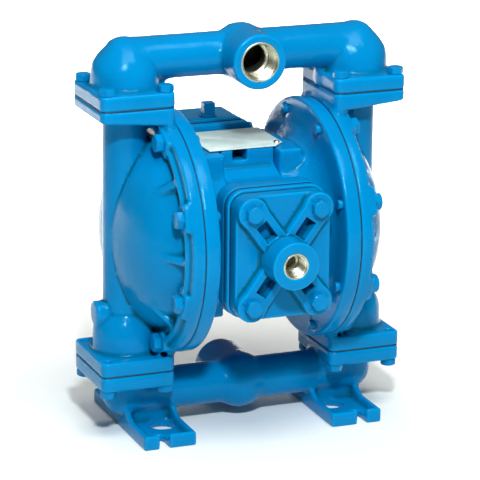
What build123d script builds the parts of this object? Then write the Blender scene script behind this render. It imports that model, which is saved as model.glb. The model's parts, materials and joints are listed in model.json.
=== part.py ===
from build123d import *
import os
from math import atan2, cos, degrees, pi, radians, sin, sqrt

# Air operated double diaphragm pump, one inch ports, ball check valves.
# Millimetres. X runs along the diaphragm rod, -Y is the air inlet side, +Z is up.
# The origin is the centre of the four foot holes, in the plane the feet stand on.

# ---------------------------------------------------------------- driving dimensions
# liquid end
ROD_Z = 173.0             # height of the diaphragm rod's axis
FLANGE_TOP_Z = 288.5      # joint between outer chambers and discharge manifold
FLANGE_LOW_Z = 58.6       # joint between outer chambers and suction manifold
COLUMN_X = 104.4          # axis of the vertical liquid columns, from the middle
COLUMN_R = 18.5
COLUMN_BORE_R = 12.5
FLANGE_LENGTH = 65.5      # square port flanges, along X
FLANGE_WIDTH = 78.4       # and along Y
FLANGE_CORNER = 6.0
FLANGE_BOLT_X = 25.5      # bolt offsets from the flange's middle
FLANGE_BOLT_Y = 31.0
CHAMBER_TOP_FLANGE = 9.8  # thickness of the outer chamber's top flange at its outer end
CHAMBER_TOP_ROOT = 16.0   # and next to the rim
CHAMBER_LOW_FLANGE = 12.8
DISCHARGE_FLANGE = 12.8
SUCTION_FLANGE = 13.1

# diaphragm chambers
PARTING_X = 69.6          # joint between inner and outer chamber
RIM_R = 104.75
RIM_BOLT_INSET = 10.0     # insets are measured inwards from the rim's outer edge
RIM_BOLTS = 8
RIM_TURN = -1.8           # degrees the bolt pattern is turned from upright
INNER_RIM = 13.3          # rim thicknesses
OUTER_RIM = 10.9
RIM_EDGE = 1.2
BOLT_PAD = 5.0            # raised pad under each rim bolt head
BOLT_PAD_HALF = 12.0
BOLT_PAD_LENGTH = 18.75   # from the rim's edge inwards
RAIL_OUT_INSET = 7.45     # raised arcs between the bolt pads
RAIL_WIDTH = 5.0
RAIL_HEIGHT = 4.4
DOME_DEPTH = 52.0         # outer chamber's outer face is a half ellipse
DOME_INSET = 19.75
CHAMBER_WALL = 6.0
FIN_ROOT_HALF = 4.2       # tapered stiffening fins on the dome
FIN_TIP_HALF = 0.5
FIN_REACH = 27.0
FIN_SINK = 20.0           # depth of a fin's root inside the dome
FIN_ANGLES = (-47, -2, 41, 139, 182, 227)
SIDE_BOSS_R = 10.8        # flat boss on the left column
SIDE_BOSS_X = 132.0
SIDE_BOSS_Z = 105.0
LOW_BULB_R = 27.6         # ball cage bulge above the bottom flange
LOW_BULB_Z = 85.0
LOW_WEB_HALF = 12.0       # web between rim and bottom flange
LOW_WEB_HEIGHT = 24.0
CAVITY_INSET = 20.75      # cavity at the parting plane
CAVITY_LIP = 6.0          # straight part of the liquid side cavity
CAVITY_FLOOR_X = 48.0
CAVITY_FLOOR_OVER = 3.6   # cavity floor's radius over the barrel's
BELL_R = 27.6             # flare from barrel to rim
NECK_X = 25.0             # joint between centre body and inner chambers
NECK_HALF_Y = 30.0
NECK_TOP_Z = 242.0
NECK_LOW_Z = 99.0
NECK_OUT_X = 45.0
NECK_SCREW_Y = 22.0       # screws that hold the inner chambers to the centre body
NECK_SCREW_Z = 40.0

# ball check valves
BALL_R = 16.0
SEAT_BORE_R = 10.5
SEAT_CONE = 3.2           # depth of the 45 degree cone the ball closes on
SEAT_R = 20.0
SEAT_H = 8.6
CAGE_R = 21.4
CAGE_RIB = 4.0
CAGE_CLEAR = 0.6          # ball to guide ribs
BALL_LIFT = 8.0
BALL_GAP = 0.3            # ball above its seat when closed, and under its stops when open
STOP_R = 8.5
SEAL_D = 2.4              # seat seal cord

# manifolds
PIPE_R = 18.65
PIPE_BORE_R = 13.0
DISCHARGE_Z = 323.5
SUCTION_Z = 31.0
ELBOW_R = 19.8
CAGE_BULB_R = 28.8        # discharge ball cage bulges
CAGE_BULB_Z = 310.0
HUB_R = 23.6              # threaded hubs of both manifolds
HUB_REACH = 45.0
HUB_DROP = 0.75           # discharge hub sits a little below the pipe axis
HUB_BORE_R = 16.6         # one inch pipe thread
HUB_BORE_DEPTH = 22.0
HUB_CHAMFER = 1.4
TEE_R = 25.0
WEB_HALF = 5.0            # web between a manifold pipe and its flange
WEB_REACH = 12.0

# feet
FOOT_IN_X = 62.7
FOOT_OUT_X = 108.9
FOOT_FRONT_Y = 66.0
FOOT_REAR_Y = 70.5
FOOT_FLOOR = 6.5
FOOT_WALL = 4.8
FOOT_WALL_Z = 12.2
FOOT_SADDLE_HALF = 12.5
FOOT_SADDLE_Z = 27.0
FOOT_HOLE_X = 78.5
FOOT_HOLE_Y = 24.0
FOOT_HOLE_R = 11.0
FOOT_SLOT_X = 91.0        # open slot through the front and rear wall
FOOT_SLOT_HALF = 4.4
FOOT_SLOT_DEPTH = 15.0

# centre body
FRONT_PAD_OUT = 19.9      # pads standing out of the barrel
PAD_HALF_X = 44.6
PAD_TOP_Z = 226.1
PAD_LOW_Z = 114.7
PAD_CORNER = 15.2
PAD_CLEAR = 0.5
PAD_ROOT_TOP = 6.0        # root under the pad, down from its top and up from its foot
PAD_ROOT_LOW = 8.0
REAR_PAD_OUT = 8.6
REAR_PAD_HALF_X = 34.0
REAR_PAD_TOP_Z = 247.0
REAR_PAD_LOW_Z = 150.0
DECK_HALF_X = 24.0        # hollow deck under the nameplate
DECK_FRONT_Y = 19.0
DECK_REAR_Y = 44.0
DECK_TAIL_DEPTH = 12.0    # deck's rear part, down from the nameplate
DECK_TAIL_ROOT = 6.0
WINDOW_LEFT_X = 13.6
WINDOW_RIGHT_X = 0.6
WINDOW_HEIGHT = 9.0
WINDOW_DROP = 0.8         # below the nameplate
WINDOW_DEPTH = 26.0
AIR_WAY_RISE = 30.0       # air way over the rod
AIR_WAY_R = 6.0
VALVE_WAY_X = 14.0        # two ways from the chambers to the main valve
VALVE_WAY_RISE = 20.0
VALVE_WAY_R = 5.0
VALVE_WAY_START_Y = 30.0
NECK_SCREW_TAP = 12.0     # depths of the tapped holes
CAP_BOLT_TAP = 12.0
VALVE_SCREW_TAP = 7.0

# nameplate
PLATE_LIFT = 1.0          # above the necks of the inner chambers
PLATE_T = 0.9
PLATE_HALF_X = 35.0
PLATE_FRONT_Y = 19.5
PLATE_REAR_Y = 45.5
PLATE_CLIP_X = 9.5
PLATE_CLIP_Y = 10.0
PLATE_SCREW_X = 30.0
PLATE_SCREW_RIGHT_Y = -9.6
PLATE_SCREW_LEFT_Y = 25.0
PLATE_SCREW_R = 1.5
PLATE_SCREW_TAP = 8.0

# air inlet cap
CAP_Z = 170.4
CAP_BOLT_X = 29.2
CAP_BOLT_Z = 40.2
CAP_LOBE_R = 13.1
CAP_PLATE = 13.5
CAP_ARM = 6.6             # height of the arms above the plate
CAP_ARM_HALF = 10.6
CAP_POCKET_HALF = 5.0
CAP_POCKET_IN = 20.6
CAP_POCKET_OUT = 37.2
CAP_POCKET_DEPTH = 10.5
CAP_GASKET_HOLE_R = 38.0
AIR_CHEST_HALF_X = 18.0   # hollow in the back of the cap
AIR_CHEST_LOW = 14.0      # below the inlet's axis
AIR_CHEST_RISE = 38.0     # above the rod's axis
AIR_CHEST_DEPTH = 7.0
INLET_R = 20.0
INLET_OUT = 42.3          # inlet boss standing out of the cap's back
INLET_Z = 169.0
INLET_BORE_R = 10.9       # half inch pipe thread
INLET_BORE_DEPTH = 22.0
INLET_WAY_R = 7.5
GASKET = 0.8
PILOT_PLATE = 7.4
PILOT_PLATE_MARGIN = 1.9

# diaphragm rod train
STROKE = 11.0             # each way from the middle
ROD_R = 9.5
STUD_R = 6.0
INNER_PLATE_INSET = 28.0  # plates' edges inside the cavity's
OUTER_PLATE_INSET = 32.0
PLATE_THICK = 6.0
DIAPHRAGM_WEB = 3.0
DIAPHRAGM_INSET = 15.25
DIAPHRAGM_BEAD = 5.0
DIAPHRAGM_BEAD_WIDTH = 4.9
DIAPHRAGM_ROLL = 5.0      # height of the rolled convolution
NUT_AF = 24.0
NUT_H = 9.0
WASHER_R = 16.0
WASHER_T = 2.0
RUN_GAP = 0.05            # radial gap of every sliding fit
SLIP_GAP = 0.05           # radial gap of every fixed insert
BUMPER_GAP = 0.3
BUMPER_R = 24.0
BUMPER_BORE_R = 15.0
BUMPER_SINK = 2.0
BUSH_R = 13.0
BUSH_L = 13.0
ROD_SEAL_R = 12.6
ROD_SEAL_X = 33.0
ROD_SEAL_L = 4.0

# pilot valve, pushed by the inner diaphragm plates
PILOT_INSET = 11.4        # plungers, inside the barrel
PILOT_TRAVEL = 4.0
PILOT_SPOOL_R = 6.0
PILOT_SLEEVE_R = 9.0
PILOT_HALF = 23.5
PILOT_SPOOL_HALF = 19.0
PILOT_BLOCK_HALF_Z = 15.0
PILOT_BLOCK_IN = 15.0     # block behind the plungers
PLUNGER_R = 5.0
PLUNGER_BUSH_R = 8.0
PLUNGER_BUSH_L = 15.0
PLUNGER_END_GAP = 0.1

# main air valve behind the centre body
VALVE_OUT = 22.0          # spool's axis behind the rear pad
VALVE_Z = 215.0
VALVE_HALF_X = 36.0
VALVE_DEPTH = 47.0
VALVE_TOP_Z = 249.0
VALVE_LOW_Z = 178.0
VALVE_ROUND = 14.0
VALVE_SPOOL_R = 10.0
VALVE_SLEEVE_R = 15.0
VALVE_SPOOL_HALF = 27.0
VALVE_CAP = 10.0
VALVE_CAP_HALF = 20.5
VALVE_CAP_SCREW = 14.5
VALVE_BOLT_X = 26.0
VALVE_BOLT_Z = 28.5
PLUG_X = 1.0              # square headed pipe plug in the valve body's roof
PLUG_OUT = 12.5
PLUG_AF = 10.3
PLUG_HEAD = 12.0
PLUG_R = 7.5
PLUG_BOSS_R = 10.8
PLUG_BOSS = 0.6            # boss's height over the roof
PLUG_DEPTH = 10.0
MUFFLER_R = 15.0
MUFFLER_L = 44.0
MUFFLER_NECK_R = 10.0
MUFFLER_NECK_L = 9.0

# fasteners
CHAMBER_BOLT_R = 4.0
CHAMBER_BOLT_AF = 14.0
CHAMBER_BOLT_HEAD = 6.2
CHAMBER_BOLT_TIP = 3.4    # thread standing out of the inner rim
FLANGE_BOLT_R = 4.0
FLANGE_BOLT_AF = 12.5
FLANGE_BOLT_HEAD = 6.0
CAP_BOLT_R = 4.0
CAP_BOLT_AF = 13.4
CAP_BOLT_HEAD = 6.1
SOCKET_SCREW_R = 3.0
SOCKET_HEAD_R = 5.2
SOCKET_HEAD = 5.5
HOLE_GAP = 0.35           # radial gap of clearance holes

# ---------------------------------------------------------------- sizes that follow
RIM_BOLT_R = RIM_R - RIM_BOLT_INSET
BOLT_PAD_INNER_R = RIM_R - BOLT_PAD_LENGTH
RAIL_OUT_R = RIM_R - RAIL_OUT_INSET
RAIL_IN_R = RAIL_OUT_R - RAIL_WIDTH
DOME_R = RIM_R - DOME_INSET
CAVITY_R = RIM_R - CAVITY_INSET
BELL_EDGE_R = DOME_R
BARREL_R = BELL_EDGE_R - BELL_R
CAVITY_FLOOR_R = BARREL_R + CAVITY_FLOOR_OVER
INNER_PLATE_R = CAVITY_R - INNER_PLATE_INSET
OUTER_PLATE_R = CAVITY_R - OUTER_PLATE_INSET
DIAPHRAGM_R = RIM_R - DIAPHRAGM_INSET
DIAPHRAGM_GROOVE_IN_R = DIAPHRAGM_R - DIAPHRAGM_BEAD_WIDTH
FRONT_PAD_Y = BARREL_R + FRONT_PAD_OUT
REAR_PAD_Y = BARREL_R + REAR_PAD_OUT
PILOT_Y = BARREL_R - PILOT_INSET
PILOT_BLOCK_IN_Y = PILOT_Y - PILOT_BLOCK_IN
VALVE_Y = REAR_PAD_Y + VALVE_OUT
VALVE_FRONT_Y = REAR_PAD_Y + GASKET
VALVE_REAR_Y = REAR_PAD_Y + VALVE_DEPTH
PLUG_Y = REAR_PAD_Y + PLUG_OUT
PLATE_Z = NECK_TOP_Z + PLATE_LIFT
WINDOW_TOP_Z = PLATE_Z - WINDOW_DROP
WINDOW_LOW_Z = WINDOW_TOP_Z - WINDOW_HEIGHT
INNER_RIM_X = PARTING_X - INNER_RIM
RIM_FACE_X = PARTING_X + OUTER_RIM
PAD_X = RIM_FACE_X + BOLT_PAD
DISCHARGE_HUB_Z = DISCHARGE_Z - HUB_DROP
DIAPHRAGM_X = PARTING_X
WEB_IN_X = DIAPHRAGM_X - DIAPHRAGM_WEB / 2
WEB_OUT_X = DIAPHRAGM_X + DIAPHRAGM_WEB / 2
INNER_PLATE_X = WEB_IN_X - PLATE_THICK
OUTER_PLATE_X = WEB_OUT_X + PLATE_THICK
BUMPER_TOP_X = INNER_PLATE_X - STROKE - BUMPER_GAP
PLUNGER_TIP_X = BUMPER_TOP_X + PILOT_TRAVEL
CONE_R = SEAT_BORE_R + SEAT_CONE
BALL_ABOVE_JOINT = BALL_R * sqrt(2) - SEAT_BORE_R - SEAT_CONE + BALL_GAP
RIB_R = BALL_R + CAGE_CLEAR
STOP_ABOVE_BALL = sqrt(BALL_R ** 2 - STOP_R ** 2)
STOP_ABOVE_JOINT = BALL_ABOVE_JOINT + BALL_LIFT + STOP_ABOVE_BALL + BALL_GAP
PILOT_PLATE_Y = FRONT_PAD_Y + GASKET
CAP_BACK_Y = PILOT_PLATE_Y + PILOT_PLATE + GASKET
CAP_FACE_Y = CAP_BACK_Y + CAP_PLATE
CAP_ARM_Y = CAP_FACE_Y + CAP_ARM
INLET_Y = CAP_BACK_Y + INLET_OUT
CAP_HALF_X = CAP_BOLT_X + CAP_LOBE_R
CAP_HALF_Z = CAP_BOLT_Z + CAP_LOBE_R
PLATE_TOP_Z = PLATE_Z + PLATE_T
AIR_WAY_Z = ROD_Z + AIR_WAY_RISE
VALVE_WAY_Z = ROD_Z + VALVE_WAY_RISE

CENTRE = (Align.CENTER, Align.CENTER, Align.CENTER)
BASE = (Align.CENTER, Align.CENTER, Align.MIN)


# ---------------------------------------------------------------- helpers
def rod(start, end, radius):
    """Cylinder from one point to another."""
    line = Vector(*end) - Vector(*start)
    return Plane(origin=start, z_dir=line) * Cylinder(radius, line.length, align=BASE)


def cone(start, end, r_start, r_end):
    line = Vector(*end) - Vector(*start)
    return Plane(origin=start, z_dir=line) * Cone(r_start, r_end, line.length, align=BASE)


def block(x0, x1, y0, y1, z0, z1):
    """Box between two corners."""
    middle = ((x0 + x1) / 2, (y0 + y1) / 2, (z0 + z1) / 2)
    return Pos(*middle) * Box(abs(x1 - x0), abs(y1 - y0), abs(z1 - z0), align=CENTRE)


def slab_z(x0, x1, y0, y1, z0, z1, corner):
    """Plate lying flat, with round corners."""
    outline = RectangleRounded(abs(x1 - x0), abs(y1 - y0), corner)
    return Pos((x0 + x1) / 2, (y0 + y1) / 2, z0) * extrude(outline, z1 - z0)


def slab_y(x0, x1, z0, z1, y_near, y_far, corner):
    """Upright plate in the XZ plane from y_near to y_far, with round corners."""
    plane = Plane(origin=((x0 + x1) / 2, y_near, (z0 + z1) / 2), x_dir=(1, 0, 0), z_dir=(0, 1, 0))
    outline = RectangleRounded(abs(x1 - x0), abs(z1 - z0), corner)
    return extrude(plane * outline, y_far - y_near)


def hexagon(base, direction, across_flats, height, turn=0.0):
    """Hexagonal head or nut standing on base."""
    plane = Plane(origin=base, z_dir=direction)
    outline = RegularPolygon(across_flats / sqrt(3), 6, rotation=turn)
    head = extrude(plane * outline, height)
    top = Vector(*base) + Vector(*direction).normalized() * height
    round_r = across_flats / 2 * 1.02
    edge = across_flats * 0.1
    crown = cone(base, tuple(top), round_r + height * 0.9 + edge, round_r - edge * 0.4)
    return head & crown


def ring(start, end, r_out, r_in):
    return rod(start, end, r_out) - rod(start, end, r_in)


def around_rod(outline):
    """Turn a closed (x, radius) outline about the diaphragm rod's axis."""
    points = [(x, 0, ROD_Z + r) for x, r in outline]
    face = Face(Polyline(*points, close=True))
    return revolve(face, Axis((0, 0, ROD_Z), (1, 0, 0)), 360)


def dome(depth, radius):
    """Half ellipsoid about the rod axis, bulging outwards from the parting plane."""
    plane = Plane(origin=(PARTING_X, 0, ROD_Z), x_dir=(1, 0, 0), z_dir=(0, -1, 0))
    outline = Ellipse(depth, radius)
    half = outline & Pos(depth, radius) * Rectangle(2 * depth, 2 * radius)
    return revolve(plane * half, Axis((0, 0, ROD_Z), (1, 0, 0)), 360)


def on_rim(angle, radius):
    """Y and Z of a point at an angle about the rod axis, 0 towards the front."""
    return -radius * cos(radians(angle)), ROD_Z + radius * sin(radians(angle))


def mirrored(shape):
    return shape.mirror(Plane.YZ)


def both_sides(shape):
    """The shape and its mirror image, as separate solids."""
    return list(shape.solids()) + list(mirrored(shape).solids())


def save(name, *shapes):
    solids = [solid for shape in shapes for solid in shape.solids()]
    body = solids[0] if len(solids) == 1 else Compound(children=solids)
    body.label = name
    export_step(body, f"parts/{name}.step")
    parts_written.append(name)


def rim_bolt_angles():
    step = 360 / RIM_BOLTS
    return [step * (i + 0.5) + RIM_TURN for i in range(RIM_BOLTS)]


def flange_bolt_places():
    return [
        (COLUMN_X + sx * FLANGE_BOLT_X, sy * FLANGE_BOLT_Y)
        for sx in (-1, 1)
        for sy in (-1, 1)
    ]


def port_flange(z0, z1):
    half = FLANGE_LENGTH / 2
    width = FLANGE_WIDTH / 2
    return slab_z(COLUMN_X - half, COLUMN_X + half, -width, width, z0, z1, FLANGE_CORNER)


def cut_flange_bolts(shape, z0, z1, radius):
    for x, y in flange_bolt_places():
        shape -= rod((x, y, z0), (x, y, z1), radius)
    return shape


def ball_cage(joint_z, top_z):
    """Hollow above a seat, with a half round top."""
    dome_z = top_z - CAGE_R
    hollow = rod((COLUMN_X, 0, joint_z - 1), (COLUMN_X, 0, dome_z), CAGE_R)
    return hollow + Pos(COLUMN_X, 0, dome_z) * Sphere(CAGE_R)


def cage_ribs(joint_z):
    """Four ribs that guide the ball, and turn in above it to stop it."""
    stop_z = joint_z + STOP_ABOVE_JOINT
    top_z = stop_z + CAGE_RIB
    ribs = None
    for angle in (45, 135, 225, 315):
        rib = block(RIB_R, CAGE_R + 1, -CAGE_RIB / 2, CAGE_RIB / 2, joint_z + 1.5, top_z)
        rib += block(STOP_R, CAGE_R + 1, -CAGE_RIB / 2, CAGE_RIB / 2, stop_z, top_z)
        rib = Pos(COLUMN_X, 0, 0) * Rot(0, 0, angle) * rib
        ribs = rib if ribs is None else ribs + rib
    return ribs


# ---------------------------------------------------------------- outer chambers
def stiffening_fin(angle):
    """Wedge that runs from the rim up the dome and dies into it."""
    tip_x = RIM_FACE_X + FIN_REACH
    outline = Polyline(
        (RIM_FACE_X - 1, 0, DOME_R - FIN_SINK),
        (RIM_FACE_X - 1, 0, RAIL_IN_R),
        (RIM_FACE_X + RAIL_HEIGHT - 1, 0, RAIL_IN_R),
        (tip_x, 0, DOME_R * sqrt(1 - ((tip_x - PARTING_X) / DOME_DEPTH) ** 2) + 0.6),
        (tip_x, 0, DOME_R - 2 * FIN_SINK),
        close=True,
    )
    profile = extrude(Face(outline), FIN_ROOT_HALF, both=True)
    plan = Polyline(
        (RIM_FACE_X - 1, -FIN_ROOT_HALF, 0),
        (RIM_FACE_X - 1, FIN_ROOT_HALF, 0),
        (tip_x, FIN_TIP_HALF, 0),
        (tip_x, -FIN_TIP_HALF, 0),
        close=True,
    )
    wedge = profile & extrude(Face(plan), RIM_R, dir=(0, 0, 1))
    return Pos(0, 0, ROD_Z) * Rot(90 - angle, 0, 0) * wedge


def outer_chamber():
    """Right hand outer chamber: rim, dome, liquid column, port flanges and ball cage."""
    body = rod((PARTING_X, 0, ROD_Z), (RIM_FACE_X, 0, ROD_Z), RIM_R)
    body = chamfer(body.edges().filter_by(GeomType.CIRCLE).sort_by(Axis.X)[-1], RIM_EDGE)
    pads = None
    for angle in rim_bolt_angles():
        pad = block(
            RIM_FACE_X - 1, PAD_X, -BOLT_PAD_HALF, BOLT_PAD_HALF, BOLT_PAD_INNER_R, RIM_R
        )
        pad = Pos(0, 0, ROD_Z) * Rot(90 - angle, 0, 0) * pad
        pads = pad if pads is None else pads + pad
    body += pads & rod((PARTING_X, 0, ROD_Z), (PAD_X + 1, 0, ROD_Z), RIM_R - RIM_EDGE)
    body += ring(
        (RIM_FACE_X - 1, 0, ROD_Z),
        (RIM_FACE_X + RAIL_HEIGHT, 0, ROD_Z),
        RAIL_OUT_R,
        RAIL_IN_R,
    )
    body += dome(DOME_DEPTH, DOME_R)
    for angle in FIN_ANGLES:
        body += stiffening_fin(angle)
    body += rod((COLUMN_X, 0, FLANGE_LOW_Z), (COLUMN_X, 0, FLANGE_TOP_Z), COLUMN_R)
    body += top_port_flange()
    body += port_flange(FLANGE_LOW_Z, FLANGE_LOW_Z + CHAMBER_LOW_FLANGE)
    body += rod((COLUMN_X, 0, FLANGE_LOW_Z), (COLUMN_X, 0, LOW_BULB_Z), LOW_BULB_R)
    body += Pos(COLUMN_X, 0, LOW_BULB_Z) * Sphere(LOW_BULB_R)
    body += low_web()
    body -= below(FLANGE_LOW_Z)

    # hollow: liquid side of the diaphragm, column bore, ball cage and seat pocket
    hollow = dome(DOME_DEPTH - CHAMBER_WALL, DOME_R - CHAMBER_WALL)
    hollow += rod((PARTING_X - 1, 0, ROD_Z), (PARTING_X + CAVITY_LIP, 0, ROD_Z), CAVITY_R)
    hollow += rod((COLUMN_X, 0, LOW_BULB_Z), (COLUMN_X, 0, FLANGE_TOP_Z), COLUMN_BORE_R)
    hollow += ball_cage(FLANGE_LOW_Z, LOW_BULB_Z + CAGE_R)
    body -= hollow - cage_ribs(FLANGE_LOW_Z)
    body -= rod((COLUMN_X, 0, FLANGE_TOP_Z - SEAT_H - SEAL_D), (COLUMN_X, 0, FLANGE_TOP_Z),
                SEAT_R + SLIP_GAP)
    body -= diaphragm_groove(PARTING_X, PARTING_X + DIAPHRAGM_BEAD / 2)
    for angle in rim_bolt_angles():
        y, z = on_rim(angle, RIM_BOLT_R)
        body -= rod((PARTING_X - 1, y, z), (PAD_X + 1, y, z), CHAMBER_BOLT_R + HOLE_GAP)
    body = cut_flange_bolts(
        body, FLANGE_TOP_Z - 2 * CHAMBER_TOP_ROOT, FLANGE_TOP_Z + 1, FLANGE_BOLT_R + SLIP_GAP
    )
    body = cut_flange_bolts(
        body, FLANGE_LOW_Z - 1, FLANGE_LOW_Z + 2 * CHAMBER_LOW_FLANGE, FLANGE_BOLT_R + SLIP_GAP
    )
    return body


def top_port_flange():
    """Top flange, whose underside slopes down towards the rim."""
    in_x = COLUMN_X - FLANGE_LENGTH / 2
    out_x = COLUMN_X + FLANGE_LENGTH / 2
    flange = port_flange(FLANGE_TOP_Z - CHAMBER_TOP_ROOT, FLANGE_TOP_Z)
    slope = Polyline(
        (in_x - 1, 0, FLANGE_TOP_Z - CHAMBER_TOP_ROOT),
        (in_x - 1, 0, FLANGE_TOP_Z - CHAMBER_TOP_ROOT - 2),
        (out_x + 1, 0, FLANGE_TOP_Z - CHAMBER_TOP_ROOT - 2),
        (out_x + 1, 0, FLANGE_TOP_Z - CHAMBER_TOP_FLANGE),
        close=True,
    )
    return flange - extrude(Face(slope), FLANGE_WIDTH, both=True)


def low_web():
    """Web between the rim and the bottom flange."""
    return block(
        PARTING_X + 2.2, COLUMN_X, -LOW_WEB_HALF, LOW_WEB_HALF,
        FLANGE_LOW_Z + 1, FLANGE_LOW_Z + LOW_WEB_HEIGHT,
    )


def below(joint_z):
    """Everything under a port flange's joint face, to trim a ball cage flush."""
    reach = CAGE_BULB_R + 5
    return block(COLUMN_X - reach, COLUMN_X + reach, -reach, reach, joint_z - reach, joint_z)


def diaphragm_groove(x0, x1):
    return ring((x0 - 0.01, 0, ROD_Z), (x1, 0, ROD_Z), DIAPHRAGM_R + SLIP_GAP,
                DIAPHRAGM_GROOVE_IN_R - 1)


def side_boss():
    boss = rod((-COLUMN_X, 0, SIDE_BOSS_Z), (-SIDE_BOSS_X, 0, SIDE_BOSS_Z), SIDE_BOSS_R)
    return boss - rod((-COLUMN_X - 1, 0, ROD_Z), (-COLUMN_X - 1, 0, FLANGE_LOW_Z), COLUMN_BORE_R)


# ---------------------------------------------------------------- inner chambers
def bell_solid():
    """Barrel end flaring into the rim, turned about the rod axis."""
    plane = Plane(origin=(0, 0, ROD_Z), x_dir=(1, 0, 0), z_dir=(0, -1, 0))
    flare_x = INNER_RIM_X - BELL_R
    mid = (flare_x + BELL_R * sin(pi / 4), BELL_EDGE_R - BELL_R * cos(pi / 4))
    edges = [
        Line((NECK_X, 0), (NECK_X, BARREL_R)),
        Line((NECK_X, BARREL_R), (flare_x, BARREL_R)),
        ThreePointArc((flare_x, BARREL_R), mid, (INNER_RIM_X, BELL_EDGE_R)),
        Line((INNER_RIM_X, BELL_EDGE_R), (INNER_RIM_X, RIM_R - RIM_EDGE)),
        Line((INNER_RIM_X, RIM_R - RIM_EDGE), (INNER_RIM_X + RIM_EDGE, RIM_R)),
        Line((INNER_RIM_X + RIM_EDGE, RIM_R), (PARTING_X, RIM_R)),
        Line((PARTING_X, RIM_R), (PARTING_X, 0)),
        Line((PARTING_X, 0), (NECK_X, 0)),
    ]
    face = make_face(edges)
    return revolve(plane * face, Axis((0, 0, ROD_Z), (1, 0, 0)), 360)


def inner_chamber(plate_screw_y):
    """Right hand inner chamber: bolted neck, bell and rim, with the air side cavity."""
    body = bell_solid()
    neck = block(NECK_X, NECK_OUT_X, -NECK_HALF_Y, NECK_HALF_Y, NECK_LOW_Z, NECK_TOP_Z)
    body += neck
    body -= around_rod([
        (PARTING_X + 1, 0), (PARTING_X + 1, CAVITY_R), (PARTING_X - 3, CAVITY_R),
        (CAVITY_FLOOR_X + 2, CAVITY_FLOOR_R), (CAVITY_FLOOR_X, CAVITY_FLOOR_R - 2),
        (CAVITY_FLOOR_X, 0),
    ])
    body -= diaphragm_groove(PARTING_X - DIAPHRAGM_BEAD / 2, PARTING_X + 0.01)
    body -= rod((NECK_X - 1, 0, ROD_Z), (CAVITY_FLOOR_X + 1, 0, ROD_Z), ROD_R + 4 * RUN_GAP)
    body -= rod((ROD_SEAL_X, 0, ROD_Z), (ROD_SEAL_X + ROD_SEAL_L + 0.4, 0, ROD_Z),
                ROD_SEAL_R + SLIP_GAP)
    body -= ring((CAVITY_FLOOR_X - BUMPER_SINK, 0, ROD_Z), (CAVITY_FLOOR_X + 1, 0, ROD_Z),
                 BUMPER_R + SLIP_GAP, BUMPER_BORE_R - SLIP_GAP)
    body -= rod((NECK_X - 1, -PILOT_Y, ROD_Z), (CAVITY_FLOOR_X + 1, -PILOT_Y, ROD_Z),
                PLUNGER_BUSH_R + SLIP_GAP)
    for y, z in neck_screw_places():
        body -= rod((NECK_X - 1, y, z), (CAVITY_FLOOR_X + 1, y, z), SOCKET_SCREW_R + HOLE_GAP)
        body -= rod((CAVITY_FLOOR_X - SOCKET_HEAD - 0.5, y, z), (CAVITY_FLOOR_X + 1, y, z),
                    SOCKET_HEAD_R + HOLE_GAP)
    for angle in rim_bolt_angles():
        y, z = on_rim(angle, RIM_BOLT_R)
        body -= rod((INNER_RIM_X - 1, y, z), (PARTING_X + 1, y, z), CHAMBER_BOLT_R + SLIP_GAP)
    body -= slab_y(-PAD_HALF_X - PAD_CLEAR, PAD_HALF_X + PAD_CLEAR, PAD_LOW_Z - PAD_CLEAR,
                   PAD_TOP_Z + PAD_CLEAR, -BARREL_R - PAD_CLEAR / 2, -CAP_BACK_Y,
                   PAD_CORNER + PAD_CLEAR)
    body -= slab_y(-REAR_PAD_HALF_X - PAD_CLEAR, REAR_PAD_HALF_X + PAD_CLEAR,
                   REAR_PAD_LOW_Z - PAD_CLEAR, REAR_PAD_TOP_Z + PAD_CLEAR,
                   BARREL_R - 2, REAR_PAD_Y + 1, FLANGE_CORNER)
    body -= rod((PLATE_SCREW_X, plate_screw_y, NECK_TOP_Z - PLATE_SCREW_TAP),
                (PLATE_SCREW_X, plate_screw_y, NECK_TOP_Z + 1), PLATE_SCREW_R + SLIP_GAP)
    return body


def neck_screw_places():
    return [(sy * NECK_SCREW_Y, ROD_Z + sz * NECK_SCREW_Z) for sy in (-1, 1) for sz in (-1, 1)]


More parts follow.
